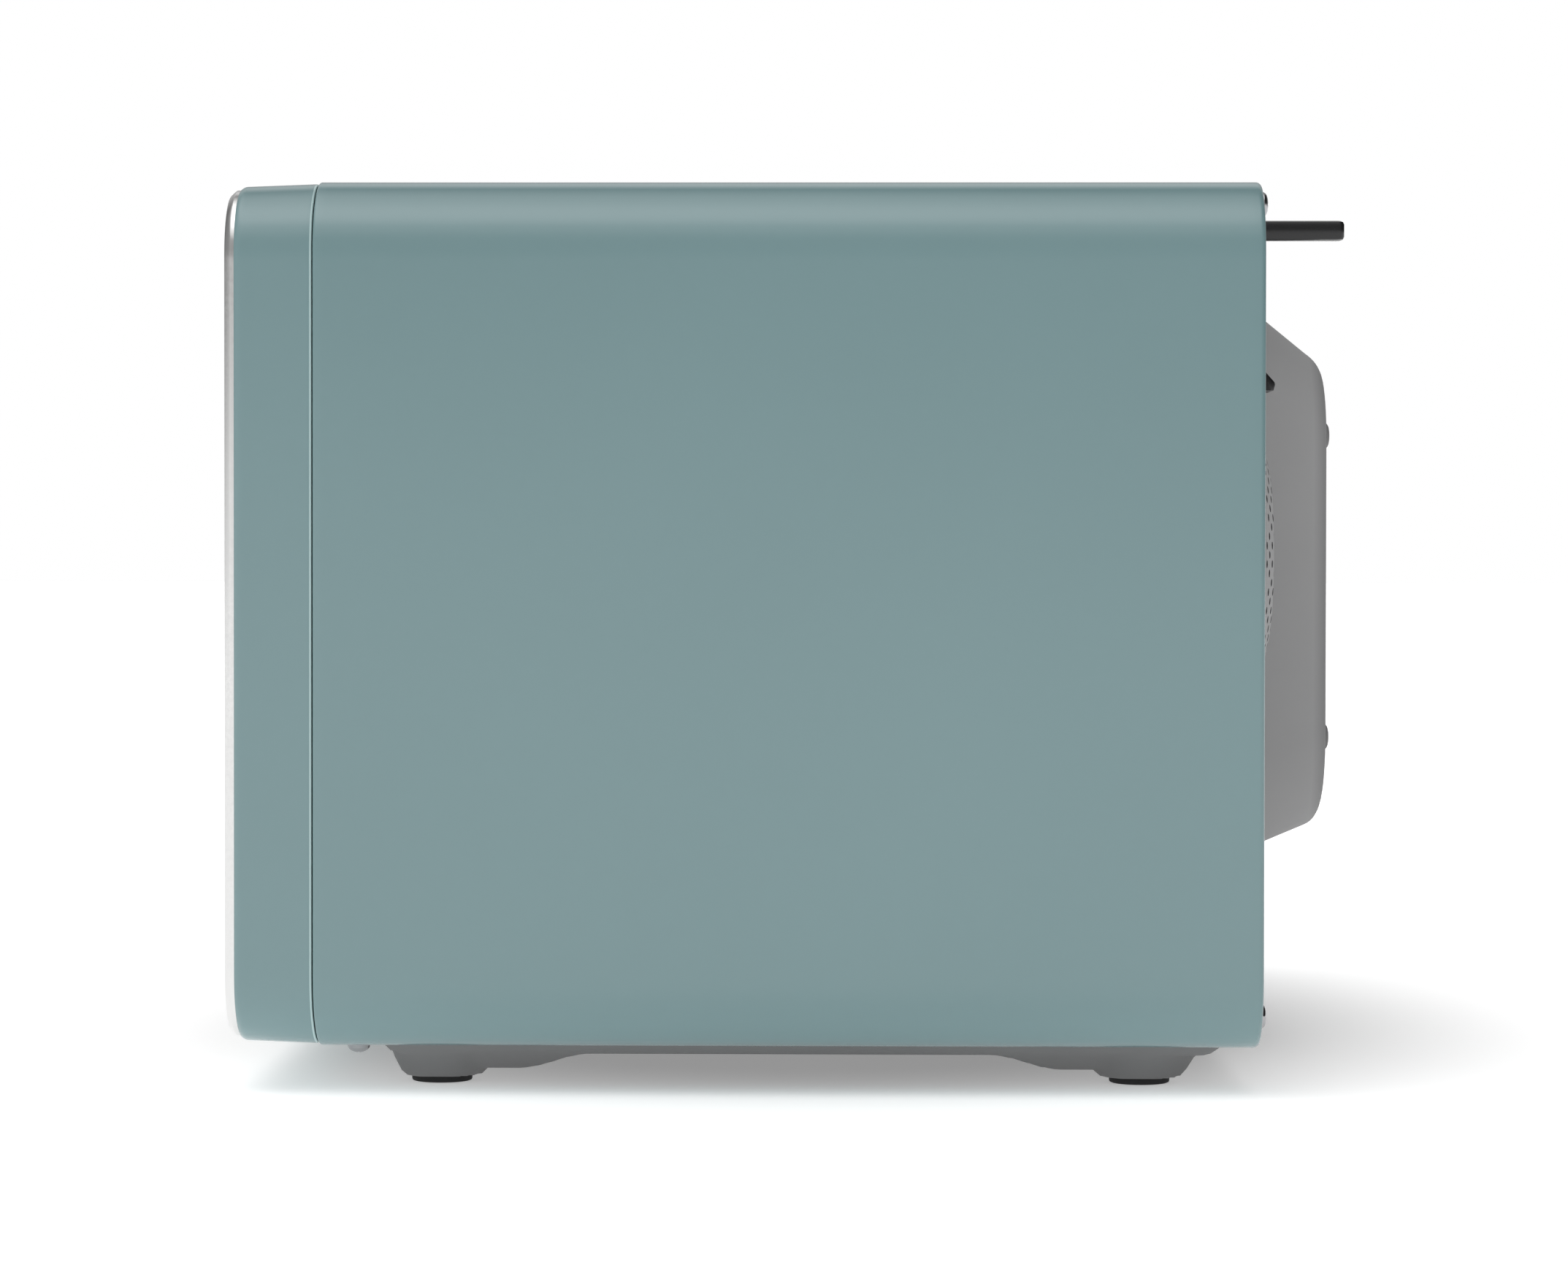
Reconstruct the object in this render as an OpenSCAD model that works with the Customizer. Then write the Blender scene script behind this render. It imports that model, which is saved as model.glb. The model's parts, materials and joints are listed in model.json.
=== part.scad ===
// Countertop microwave oven: wrap case, swinging door, control panel and working innards.
// +Z up, -Y is the front, origin on the worktop under the middle of the whole oven.

/* [Overall size] */
// Width across the wrap case
case_w = 490; // [486:1:496]
// Height from the worktop to the top of the case
case_h = 295; // [293:1:300]
// Depth from the front of the bright trim to the end of the wall spacers
total_d = 368; // [367:0.5:370]
// Gap between the worktop and the underside of the case
case_z0 = 14.6; // [14.2:0.1:15]
// Depth of the wrap case
case_d = 305.1; // [304:0.1:306]
// Corner radius of the case seen from the front
corner_r = 24; // [22:1:26]
// Sheet thickness of the wrap case
case_t = 1.2; // [1:0.1:1.4]
// Width of the case's turned-in rear flange
rear_flange = 16; // [14:1:18]

/* [Front ring and door] */
// How far the bright trim stands in front of the coloured ring
trim_proud = 3.5; // [3:0.1:4]
// Width of the bright trim
trim_w = 10; // [8:1:12]
// Depth of the coloured front ring
shell_d = 24.5; // [24:0.5:25]
// Gap between the front ring and the case
seam_gap = 0.6; // [0.5:0.1:0.8]
// How far the ring is set in from the case outline
shell_inset = 0.6; // [0.4:0.1:1]
// Wall thickness of the ring
shell_t = 2.5; // [2:0.5:3]
// Right edge of the door
door_x = 123; // [122:0.5:124]
// Gap between the door and the control panel
split_gap = 2; // [2:0.5:3]
// Radius of the hinge pins
pin_r = 3; // [2.5:0.5:3]

/* [Oven cavity] */
// Left inner wall of the cavity
cavity_x0 = -221; // [-222:1:-220]
// Right inner wall of the cavity
cavity_x1 = 99; // [98:1:99]
// Inner floor of the cavity
cavity_z0 = 42; // [42:1:44]
// Inner ceiling of the cavity
cavity_z1 = 262; // [260:1:264]
// Sheet thickness of the cavity
liner_t = 1; // [0.8:0.1:1]
// Radius of the glass tray
tray_r = 140; // [136:1:142]
// Radius of the circle that the rollers run on
track_r = 112; // [108:1:114]
// Radius of a roller
roller_r = 8; // [7.5:0.5:8]

/* [Controls] */
// Height of the dial's centre
dial_z = 175; // [172:1:178]
// Radius of the dial
dial_r = 30; // [26:1:32]
// Width of a function button
button_w = 36; // [30:1:38]
// Height of a function button
button_h = 12; // [10:1:14]
// Width of the door-open button
open_w = 76; // [70:1:80]
// Height of the door-open button
open_h = 20; // [18:1:22]

/* [Rear and feet] */
// How far the rear panel's bulge stands behind the case
bulge_d = 32.2; // [30:0.1:32.2]
// Radius of the fan inlet dome
dome_r = 47; // [44:1:48]
// Height of the fan inlet dome
dome_h = 7.5; // [6:0.5:8]
// Radius of a rubber pad
pad_r = 10; // [9:0.5:11]
// Thickness of a rubber pad
pad_h = 2.3; // [2:0.1:2.6]
// Distance of a pad from the middle of the oven
pad_x = 192; // [190:1:194]

/* [Hidden] */
$fn = 64;

// planes from front to back
trim_y = -total_d / 2;
shell_y = trim_y + trim_proud;
flange_t = 2.5;
face_y = shell_y + flange_t;
glass_y = trim_y + 2;
seam_y = shell_y + shell_d;
case_y = seam_y + seam_gap;
back_y = case_y + case_d;
panel_back_y = back_y - case_t;
panel_front_y = panel_back_y - 1.5;
plate_y = seam_y + 2.5;
plate_t = 1;
liner_y0 = plate_y + plate_t;
liner_y1 = panel_front_y - 4;
bulge_y = back_y + bulge_d;
spacer_y = total_d / 2;

// the door's hinge line and its running clearances
pivot_x = -case_w / 2 + 9;
pivot_y = case_y - 12;
sweep_r = 11.4;
hinge_z = case_z0 + 12.4;
hinge_t = 2;
mirror_z = case_z0 + case_h;
run = 0.05;
panel_x = door_x + split_gap;
slip = 0.4;

// the latch and its release lever
hook_x0 = 105;
hook_x1 = 111;
hook_z = [64, 240];
hook_tip_y = -128;
barb = 4;
lever_y = -147;
lever_z = 57;
lever_r = 2.5;
stem_x = 147;
stem_z = 38;

// turntable
turn_x = (cavity_x0 + cavity_x1) / 2;
turn_y = (liner_y0 + liner_y1) / 2;
roller_z = cavity_z0 + roller_r + 0.1;
tray_z = roller_z + roller_r + 0.2;
shaft_r = 3.5;

// controls
panel_mid_x = 180;
open_z = 48;
button_x = [157, 203];
button_z = [124, 104, 84];
board_y = -172;

// cooling air and high-voltage parts
fan_x = 178;
fan_z = 176;
fan_r = 44;
tube_y = -10;
tube_z = 205;
wave_x = cavity_x1 + liner_t + 25;
tray_plate_z = 10.5;
sheet = 1;
floor_z = tray_plate_z + sheet;
pad_y = [-118.2, 112.8];

module box(x0, x1, y0, y1, z0, z1) {
    translate([x0, y0, z0]) cube([x1 - x0, y1 - y0, z1 - z0]);
}

module rod_x(y, z, x0, x1, r) {
    translate([x0, y, z]) rotate([0, 90, 0]) cylinder(h = x1 - x0, r = r);
}

module rod_y(x, z, y0, y1, r) {
    translate([x, y1, z]) rotate([90, 0, 0]) cylinder(h = y1 - y0, r = r);
}

module rod_z(x, y, z0, z1, r) {
    translate([x, y, z0]) cylinder(h = z1 - z0, r = r);
}

// a flat shape in X and Z made solid from y0 to y1
module slab(y0, y1) {
    translate([0, y1, 0]) rotate([90, 0, 0]) linear_extrude(y1 - y0) children();
}

module rounded(x0, x1, z0, z1, r) {
    translate([x0 + r, z0]) square([x1 - x0 - 2 * r, z1 - z0]);
    translate([x0, z0 + r]) square([x1 - x0, z1 - z0 - 2 * r]);
    for (x = [x0 + r, x1 - r], z = [z0 + r, z1 - r])
        translate([x, z]) circle(r);
}

// the front outline of the case, set in evenly
module outline(inset) {
    half = case_w / 2 - inset;
    rounded(-half, half, case_z0 + inset, case_h - inset, corner_r - inset);
}

module left_of(x) {
    translate([-case_w, -case_h]) square([case_w + x, 3 * case_h]);
}

module right_of(x) {
    translate([x, -case_h]) square([case_w, 3 * case_h]);
}

// one copy as drawn and one turned over top to bottom
module both_ends() {
    children();
    translate([0, 0, mirror_z]) mirror([0, 0, 1]) children();
}

// ---- cabinet ----

rear_screw_at = [[-226, 287.5], [226, 287.5], [-229, 25.5], [229, 25.5]];
base_screw_at = [[-214.5, -143.5], [214.5, -143.5]];
screw_r = 1.5;
screw_hole_r = 1.6;

module outer_case() {
    open_x = 200;
    tray_open_x = 216;
    color([0.5, 0.6, 0.61]) difference() {
        slab(case_y, back_y) outline(0);
        slab(case_y - 1, panel_back_y) outline(case_t);
        slab(back_y - 2 * case_t, back_y + 1) rounded(
            -case_w / 2 + rear_flange, case_w / 2 - rear_flange,
            case_z0 + rear_flange, case_h - rear_flange, 8);
        box(-open_x, open_x, case_y - 1, back_y + 1, case_z0 - 1, case_z0 + rear_flange + 1);
        box(-tray_open_x, tray_open_x, -138, 139, case_z0 - 1, case_z0 + case_t + 0.1);
        for (p = rear_screw_at)
            rod_y(p[0], p[1], back_y - 5, back_y + 1, screw_hole_r);
        for (p = base_screw_at)
            rod_z(p[0], p[1], case_z0 - 1, case_z0 + 5, screw_hole_r);
    }
}

// the bulge's stations from the panel to its flat end: set-in, and how far back
module bulge(shrink, y_end) {
    thin = 0.1;
    hull() {
        slab(panel_front_y, panel_front_y + thin)
            rounded(-215 + shrink, 129 - shrink, 69.5 + shrink, 265.2 - shrink, 34);
        slab(y_end - 6.1, y_end - 6)
            rounded(-206 + shrink, 120 - shrink, 79.5 + shrink, 245.5 - shrink, 30);
        slab(y_end - thin, y_end)
            rounded(-192 + shrink, 106 - shrink, 95.5 + shrink, 232 - shrink, 26);
    }
}

module rear_panel() {
    stud_x = 100;
    stud_z = [111, 216.2];
    stud_r = 4.75;
    stud_h = 2;
    slot_pitch = 8;
    color([0.52, 0.52, 0.53]) difference() {
        union() {
            slab(panel_front_y, panel_back_y)
                rounded(-242, 242, 18, case_h - 2.6, 21);
            bulge(0, bulge_y);
            for (z = stud_z)
                rod_y(stud_x, z, bulge_y - 1, bulge_y + stud_h, stud_r);
            translate([fan_x, panel_back_y - 0.5, fan_z]) rotate([-90, 0, 0])
                cylinder(h = dome_h + case_t + 0.5, r1 = dome_r, r2 = dome_r - 12);
        }
        bulge(1.5, bulge_y - 1.5);
        translate([fan_x, panel_front_y - 0.1, fan_z]) rotate([-90, 0, 0])
            cylinder(h = dome_h + case_t + 0.6, r1 = dome_r - 1, r2 = dome_r - 13);
        for (i = [-4:4])
            box(fan_x - 30, fan_x + 30, back_y, back_y + dome_h + 2,
                fan_z + i * slot_pitch - 2, fan_z + i * slot_pitch + 2);
        for (i = [0:9])
            box(-90 + i * 20, -80 + i * 20, panel_front_y - 1, back_y, 270.5, 273.5);
        rod_y(fan_x, 233, panel_front_y - 1, back_y, 4);
        for (p = rear_screw_at)
            rod_y(p[0], p[1], panel_front_y - 1, back_y, screw_hole_r);
    }
}

// a stamped foot that stands down from the base plate
module foot_cup(inset) {
    drop = tray_plate_z - pad_h;
    translate([0, 0, pad_h + inset]) cylinder(h = drop, r1 = 15 - inset, r2 = 19.5 - inset);
}

module base_plate() {
    color([0.48, 0.48, 0.49]) difference() {
        union() {
            box(-219, 219, -151, 146, case_z0 + case_t, case_z0 + case_t + sheet);
            box(-214, 214, -135.2, 136.6, tray_plate_z, case_z0 + case_t + 0.1);
            for (x = [-pad_x, pad_x], y = pad_y)
                translate([x, y, 0]) foot_cup(0);
        }
        box(-213, 213, -134.2, 135.6, floor_z, case_z0 + case_t + 2 * sheet);
        for (x = [-pad_x, pad_x], y = pad_y)
            translate([x, y, 0]) foot_cup(sheet);
        for (p = base_screw_at)
            rod_z(p[0], p[1], case_z0, case_z0 + 5, screw_hole_r);
    }
}

module rubber_feet() {
    color([0.14, 0.14, 0.15])
        for (x = [-pad_x, pad_x], y = pad_y)
            rod_z(x, y, 0, pad_h, pad_r);
}

module front_plate() {
    color([0.7, 0.71, 0.72]) difference() {
        slab(plate_y, plate_y + plate_t) outline(case_t + 0.4);
        slab(plate_y - 1, plate_y + plate_t + 1)
            rounded(cavity_x0, cavity_x1, cavity_z0, cavity_z1, 6);
        for (z = hook_z)
            box(hook_x0 - 1.5, hook_x1 + 3, plate_y - 1, plate_y + 2, z - barb - 2, z + 13);
        box(stem_x - 5, stem_x + 5, plate_y - 1, plate_y + 2, stem_z - 5, stem_z + 5);
    }
}

module cavity_liner() {
    dish_y = bulge_y - 11;
    color([0.8, 0.8, 0.78]) difference() {
        union() {
            box(cavity_x0 - liner_t, cavity_x1 + liner_t, liner_y0, liner_y1,
                cavity_z0 - liner_t, cavity_z1 + liner_t);
            dish(0, dish_y);
        }
        box(cavity_x0, cavity_x1, liner_y0 - 1, liner_y1 - liner_t, cavity_z0, cavity_z1);
        dish(liner_t, dish_y - liner_t);
        rod_z(turn_x, turn_y, cavity_z0 - 2, cavity_z0 + 1, 5);
        box(cavity_x1 - 1, cavity_x1 + 2, -40, 20, 185, 225);
    }
}

// the shallow dish pressed into the back wall of the cavity
module dish(shrink, y_end) {
    hull() {
        slab(liner_y1 - 1.2, liner_y1 - 1.1)
            rounded(-195 + shrink, 73 - shrink, 92 + shrink, 242 - shrink, 30);
        slab(y_end - 0.1, y_end)
            rounded(-178 + shrink, 56 - shrink, 108 + shrink, 220 - shrink, 24);
    }
}

// a bracket on the front plate that carries one hinge pin
module hinge_bracket() {
    color([0.66, 0.67, 0.68]) {
        box(pivot_x - 4, pivot_x + 6, pivot_y - 5, plate_y, hinge_z, hinge_z + hinge_t);
        box(pivot_x - 4, pivot_x + 14, case_y + 0.1, plate_y, hinge_z, hinge_z + 18);
        rod_z(pivot_x, pivot_y, hinge_z + hinge_t - 0.1, hinge_z + 13, pin_r);
    }
}

module hinge_upper() {
    translate([0, 0, mirror_z]) mirror([0, 0, 1]) hinge_bracket();
}

module panel_shell() {
    color([0.5, 0.6, 0.61]) difference() {
        slab(shell_y, seam_y) intersection() {
            outline(shell_inset);
            right_of(panel_x);
        }
        slab(face_y, seam_y + 1) intersection() {
            outline(shell_inset + shell_t);
            right_of(panel_x + shell_t);
        }
        slab(shell_y - 1, face_y + 1) intersection() {
            outline(shell_inset + 2 + trim_w);
            right_of(panel_x - 1);
        }
    }
}

module trim_ring() {
    difference() {
        outline(shell_inset + 2);
        outline(shell_inset + 2 + trim_w);
    }
}

module panel_trim() {
    color([0.85, 0.85, 0.85]) slab(trim_y, shell_y) intersection() {
        trim_ring();
        right_of(panel_x);
    }
}

module panel_glass() {
    color([0.06, 0.06, 0.07]) difference() {
        slab(glass_y, face_y) intersection() {
            outline(shell_inset + 2.2 + trim_w);
            right_of(panel_x + 0.2);
        }
        rod_y(panel_mid_x, dial_z, glass_y - 1, face_y + 1, 4.3);
        box(panel_mid_x - open_w / 2 - slip, panel_mid_x + open_w / 2 + slip, glass_y - 1,
            face_y + 1, open_z - open_h / 2 - slip, open_z + open_h / 2 + slip);
        for (x = button_x, z = button_z)
            box(x - button_w / 2 - slip, x + button_w / 2 + slip, glass_y - 1, face_y + 1,
                z - button_h / 2 - slip, z + button_h / 2 + slip);
    }
}

module display_module() {
    color([0.1, 0.2, 0.2]) box(143, 217, face_y + 0.2, board_y, 222, 252);
}

module control_board() {
    encoder_r = 8;
    color([0.1, 0.4, 0.2]) {
        box(134, 226, board_y, board_y + 1.6, 74, 262);
        for (x = [138, 222], z = [78, 258])
            box(x - 3, x + 3, board_y + 1.5, plate_y, z - 3, z + 3);
        for (x = button_x, z = button_z)
            box(x - 3, x + 3, board_y - 1.6, board_y + 0.1, z - 3, z + 3);
        for (x = [150, 175, 200])
            box(x - 8, x + 8, board_y + 1.5, board_y + 13, 200, 222);
        difference() {
            rod_y(panel_mid_x, dial_z, face_y + 0.5, board_y + 0.1, encoder_r);
            rod_y(panel_mid_x, dial_z, face_y, board_y - 0.4, 4 + run);
        }
    }
}

module latch_bracket() {
    x0 = 101.5;
    x1 = 117.5;
    wall = 3;
    ear_x = 128;
    color([0.85, 0.85, 0.82]) difference() {
        union() {
            box(x0, x0 + 2, liner_y0, -112, 32, cavity_z1);
            box(x1 - wall, x1, liner_y0, -112, 32, cavity_z1);
            box(x0, x1, -115, -112, 32, cavity_z1);
            for (z = hook_z)
                box(x0 + 1, hook_x0 + 2.4, -142, -136, z - barb - 5, z - barb - 0.5);
            box(x1 - 1, ear_x + wall, liner_y0, -141, 44, 47);
            box(ear_x, ear_x + wall, liner_y0, -141, 44, 65);
        }
        rod_x(lever_y, lever_z, x1 - wall - 1, ear_x + wall + 1, lever_r + run);
    }
}

module microswitches() {
    color([0.12, 0.12, 0.13])
        for (z = [90, 150, 215])
            box(117.5, 128, -138, -114, z, z + 20);
}

module waveguide() {
    x0 = cavity_x1 + liner_t;
    color([0.74, 0.75, 0.76]) difference() {
        box(x0, wave_x, -55, 40, 165, 245);
        box(x0 - 1, wave_x - sheet, -54, 39, 166, 244);
        rod_x(tube_y, tube_z, x0, wave_x + 1, 9);
    }
}

module waveguide_cover() {
    color([0.72, 0.68, 0.6]) box(cavity_x1 - 0.6, cavity_x1, -48, 28, 178, 232);
}

module magnetron_yoke() {
    x0 = wave_x;
    color([0.6, 0.62, 0.64]) difference() {
        union() {
            box(x0, x0 + 68, tube_y - 40, tube_y + 40, tube_z - 32, tube_z + 32);
            box(x0 + 67, x0 + 92, tube_y - 20, tube_y + 20, tube_z - 18, tube_z + 18);
        }
        box(x0 + 3, x0 + 65, tube_y - 41, tube_y + 41, tube_z - 29, tube_z + 29);
        rod_x(tube_y, tube_z, x0 - 1, x0 + 4, 9);
    }
}

module magnetron_fins() {
    x0 = wave_x + 3;
    color([0.8, 0.72, 0.6]) {
        rod_x(tube_y, tube_z, x0 + 0.2, x0 + 61.5, 18);
        rod_x(tube_y, tube_z, wave_x - 18, x0 + 1, 7);
        for (i = [0:6])
            box(x0 + 10 + i * 6, x0 + 11 + i * 6, tube_y - 36, tube_y + 36, tube_z - 27, tube_z + 27);
    }
}

core_x0 = 128;
core_x1 = 208;
core_y0 = -20;
core_y1 = 30;

module transformer_core() {
    color([0.35, 0.35, 0.37]) difference() {
        box(core_x0, core_x1, core_y0, core_y1, floor_z, floor_z + 68);
        box(core_x0 + 13, core_x0 + 25, core_y0 - 1, core_y1 + 1, floor_z + 13, floor_z + 55);
        box(core_x1 - 25, core_x1 - 13, core_y0 - 1, core_y1 + 1, floor_z + 13, floor_z + 55);
    }
}

module transformer_coils() {
    color([0.7, 0.35, 0.15]) difference() {
        box(core_x0 + 13.3, core_x1 - 13.3, core_y0 - 13, core_y1 + 13,
            floor_z + 13.3, floor_z + 54.7);
        box(core_x0 + 24.7, core_x1 - 24.7, core_y0 - 0.3, core_y1 + 0.3,
            floor_z + 13, floor_z + 55);
    }
}

cap_y = 76;
cap_z = floor_z + 22;

module capacitor() {
    color([0.75, 0.76, 0.78]) {
        translate([128, 0, 0]) rotate([90, 0, 90]) linear_extrude(84) {
            translate([cap_y - 9, cap_z]) circle(17);
            translate([cap_y + 9, cap_z]) circle(17);
            translate([cap_y - 9, cap_z - 17]) square([18, 34]);
        }
        for (y = [cap_y - 9, cap_y + 9])
            rod_x(y, cap_z, 211, 218, 4);
    }
}

module capacitor_clamp() {
    color([0.7, 0.71, 0.72]) difference() {
        union() {
            box(160, 172, cap_y - 28, cap_y + 28, cap_z - 18.5, cap_z + 18.5);
            box(160, 172, cap_y - 28, cap_y + 28, floor_z, cap_z - 17.5);
        }
        translate([159, 0, 0]) rotate([90, 0, 90]) linear_extrude(14) {
            translate([cap_y - 9, cap_z]) circle(17.1);
            translate([cap_y + 9, cap_z]) circle(17.1);
            translate([cap_y - 9, cap_z - 17.1]) square([18, 34.2]);
        }
        box(159, 173, cap_y - 24, cap_y + 24, floor_z - 1, cap_z - 19);
    }
}

module hv_diode() {
    color([0.12, 0.12, 0.13]) {
        rod_x(cap_y + 45, floor_z + 3, 150, 180, 3);
        for (x = [142, 188])
            box(x - 3, x + 3, cap_y + 42, cap_y + 48, floor_z, floor_z + 4);
        rod_x(cap_y + 45, floor_z + 3, 140, 190, 0.8);
    }
}

// ---- cooling fan ----

fan_y0 = 120;
fan_y1 = 136;

module fan_motor() {
    color([0.4, 0.4, 0.42]) difference() {
        box(fan_x - 26, fan_x + 26, 88, 112, fan_z - 26, fan_z + 30);
        box(fan_x - 14, fan_x + 14, 87, 113, fan_z + 14, fan_z + 22);
        rod_y(fan_x, fan_z, 92, 113, shaft_r + run);
    }
}

module fan_duct() {
    hub_y = 112;
    color([0.2, 0.2, 0.21]) difference() {
        union() {
            rod_y(fan_x, fan_z, hub_y, panel_front_y, fan_r + 6);
            box(fan_x - 28, fan_x + 28, hub_y, hub_y + 3, fan_z - 30, fan_z + 34);
        }
        rod_y(fan_x, fan_z, hub_y + 3, panel_front_y + 1, fan_r + 4);
        for (a = [45:90:315])
            translate([fan_x, 0, fan_z]) rotate([0, a, 0])
                box(18, fan_r - 2, hub_y - 1, hub_y + 4, -14, 14);
        rod_y(fan_x, fan_z, hub_y - 1, hub_y + 4, 6);
    }
}

module fan_blade() {
    blade_n = 7;
    blade_tilt = 32;
    color([0.88, 0.88, 0.86]) {
        rod_y(fan_x, fan_z, fan_y0, fan_y1, 12);
        rod_y(fan_x, fan_z, 95, fan_y0 + 1, shaft_r);
        for (i = [0:blade_n - 1])
            translate([fan_x, (fan_y0 + fan_y1) / 2, fan_z]) rotate([0, i * 360 / blade_n, 0])
                rotate([blade_tilt, 0, 0]) box(11, fan_r - 3, -0.8, 0.8, -13, 13);
    }
}

module noise_filter() {
    color([0.15, 0.42, 0.25]) {
        box(132, 226, panel_front_y - 5, panel_front_y - 3, 236, 276);
        for (x = [136, 222], z = [240, 272])
            box(x - 2.5, x + 2.5, panel_front_y - 3.1, panel_front_y, z - 2.5, z + 2.5);
        box(140, 160, panel_front_y - 22, panel_front_y - 4.9, 245, 270);
        box(170, 196, panel_front_y - 18, panel_front_y - 4.9, 244, 272);
        rod_y(211, 256, panel_front_y - 16, panel_front_y - 4.9, 9);
    }
}

module turntable_motor() {
    top_z = cavity_z0 - liner_t;
    color([0.72, 0.73, 0.74]) difference() {
        union() {
            rod_z(turn_x, turn_y, top_z - 18, top_z - 3, 25);
            rod_z(turn_x, turn_y, top_z - 4, top_z, 9);
            for (x = [-30, 30])
                box(turn_x + x - 7, turn_x + x + 7, turn_y - 6, turn_y + 6, top_z - 6, top_z);
        }
        rod_z(turn_x, turn_y, top_z - 12, top_z + 1, shaft_r + run);
    }
}

lamp_y = 95;
lamp_z = 235;

module oven_lamp() {
    x0 = cavity_x1 + liner_t + 1;
    color([0.9, 0.9, 0.85]) {
        rod_x(lamp_y, lamp_z, x0 + 1, x0 + 14, 6);
        rod_x(lamp_y, lamp_z, x0 + 13.9, x0 + 20, 5);
    }
}

module lamp_holder() {
    x0 = cavity_x1 + liner_t;
    color([0.8, 0.8, 0.78]) difference() {
        box(x0, x0 + 24, lamp_y - 12, lamp_y + 12, lamp_z - 12, lamp_z + 12);
        box(x0 - 1, x0 + 18, lamp_y - 10.5, lamp_y + 10.5, lamp_z - 10.5, lamp_z + 10.5);
        rod_x(lamp_y, lamp_z, x0 + 17, x0 + 25, 5.1);
    }
}

module thermal_cutouts() {
    color([0.2, 0.2, 0.21]) {
        rod_z(-20, 60, cavity_z1 + liner_t, cavity_z1 + liner_t + 8, 8);
        rod_x(-95, 225, cavity_x1 + liner_t, cavity_x1 + liner_t + 8, 8);
    }
}

module wall_spacers() {
    spacer_w = 8;
    spacer_z0 = 281.1;
    spacer_z1 = 287.7;
    color([0.16, 0.16, 0.17])
        for (x = [-178, 143])
            box(x, x + spacer_w, back_y, spacer_y, spacer_z0, spacer_z1);
}

module cord_gland() {
    gland_w = 26;
    color([0.14, 0.14, 0.15]) difference() {
        translate([fan_x - gland_w / 2, 0, 0]) rotate([90, 0, 90]) linear_extrude(gland_w)
            polygon([
                [panel_back_y, 240], [panel_back_y, 226], [back_y, 228.8],
                [back_y + 7.6, 228.8], [back_y + 7.6, 231.6], [back_y, 240]
            ]);
        rod_z(fan_x, back_y + 3.5, 225, 231, 3);
    }
}

module rear_screws() {
    color([0.75, 0.76, 0.77])
        for (p = rear_screw_at) {
            rod_y(p[0], p[1], back_y, back_y + 2, 4);
            rod_y(p[0], p[1], back_y - 7, back_y + 1, screw_r);
        }
}

module base_screws() {
    color([0.75, 0.76, 0.77])
        for (p = base_screw_at) {
            rod_z(p[0], p[1], case_z0 - 3.3, case_z0, 4);
            rod_z(p[0], p[1], case_z0 - 1, case_z0 + 7, screw_r);
        }
}

// ---- door ----

// room for the fixed hinge brackets, and the rounded rear edge that lets the door swing
module hinge_room() {
    both_ends() intersection() {
        rod_z(pivot_x, pivot_y, hinge_z - 0.7, hinge_z + hinge_t + 1, 16.5);
        box(pivot_x - 20, pivot_x + 20, pivot_y - 7.5, pivot_y + 20, hinge_z - 1, hinge_z + 4);
    }
    difference() {
        box(-case_w / 2 - 1, pivot_x, pivot_y, case_y + 2, 0, case_h);
        rod_z(pivot_x, pivot_y, -1, case_h + 1, sweep_r);
    }
}

module door_shell() {
    color([0.5, 0.6, 0.61]) difference() {
        slab(shell_y, seam_y) intersection() {
            outline(shell_inset);
            left_of(door_x);
        }
        slab(face_y, seam_y + 1) intersection() {
            outline(shell_inset + shell_t);
            left_of(door_x - shell_t);
        }
        slab(shell_y - 1, face_y + 1) intersection() {
            outline(shell_inset + 2 + trim_w);
            left_of(door_x + 1);
        }
        hinge_room();
    }
}

module door_trim() {
    color([0.85, 0.85, 0.85]) slab(trim_y, shell_y) intersection() {
        trim_ring();
        left_of(door_x);
    }
}

module door_glass() {
    color([0.06, 0.06, 0.07]) slab(glass_y, face_y) intersection() {
        outline(shell_inset + 2.2 + trim_w);
        left_of(door_x - 0.2);
    }
}

// window in the door and the choke channel round it
window = [cavity_x0 + 27, cavity_x1 - 27, cavity_z0 + 30, cavity_z1 - 28];
channel_y1 = seam_y - 3;

module door_frame() {
    wx0 = window[0];
    wx1 = window[1];
    wz0 = window[2];
    wz1 = window[3];
    color([0.3, 0.3, 0.31]) difference() {
        union() {
            slab(face_y, face_y + sheet) intersection() {
                outline(shell_inset + shell_t + 0.3);
                left_of(door_x - shell_t - 0.3);
            }
            box(cavity_x0 - 3, cavity_x1 + 3, face_y, channel_y1, cavity_z0 - 2, cavity_z1 + 2);
            intersection() {
                slab(face_y, seam_y) outline(shell_inset + shell_t + 0.3);
                both_ends() {
                    rod_z(pivot_x, pivot_y, hinge_z + hinge_t + 1.3, hinge_z + 15, 5.5);
                    box(pivot_x, pivot_x + 7, face_y, pivot_y, hinge_z + hinge_t + 1.3, hinge_z + 15);
                }
            }
            for (z = [100, 200], x = [hook_x0 - 2, hook_x1 + 0.4])
                box(x, x + 1.6, face_y, seam_y - 10, z, z + 10);
            box(hook_x0 - 2, hook_x1 + 2, face_y, seam_y - 9, 272, 275);
        }
        box(cavity_x0 - 2, cavity_x1 + 2, face_y + sheet, channel_y1 + 1,
            cavity_z0 - 1, cavity_z1 + 1);
        box(wx0, wx1, face_y - 1, channel_y1, wz0, wz1);
        both_ends() rod_z(pivot_x, pivot_y, hinge_z, hinge_z + 14, pin_r + run);
        hinge_room();
    }
    color([0.3, 0.3, 0.31]) difference() {
        box(wx0 - 4, wx1 + 4, face_y, channel_y1, wz0 - 4, wz1 + 4);
        box(wx0 - 3, wx1 + 3, face_y - 1, channel_y1 + 1, wz0 - 3, wz1 + 3);
    }
}

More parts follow.
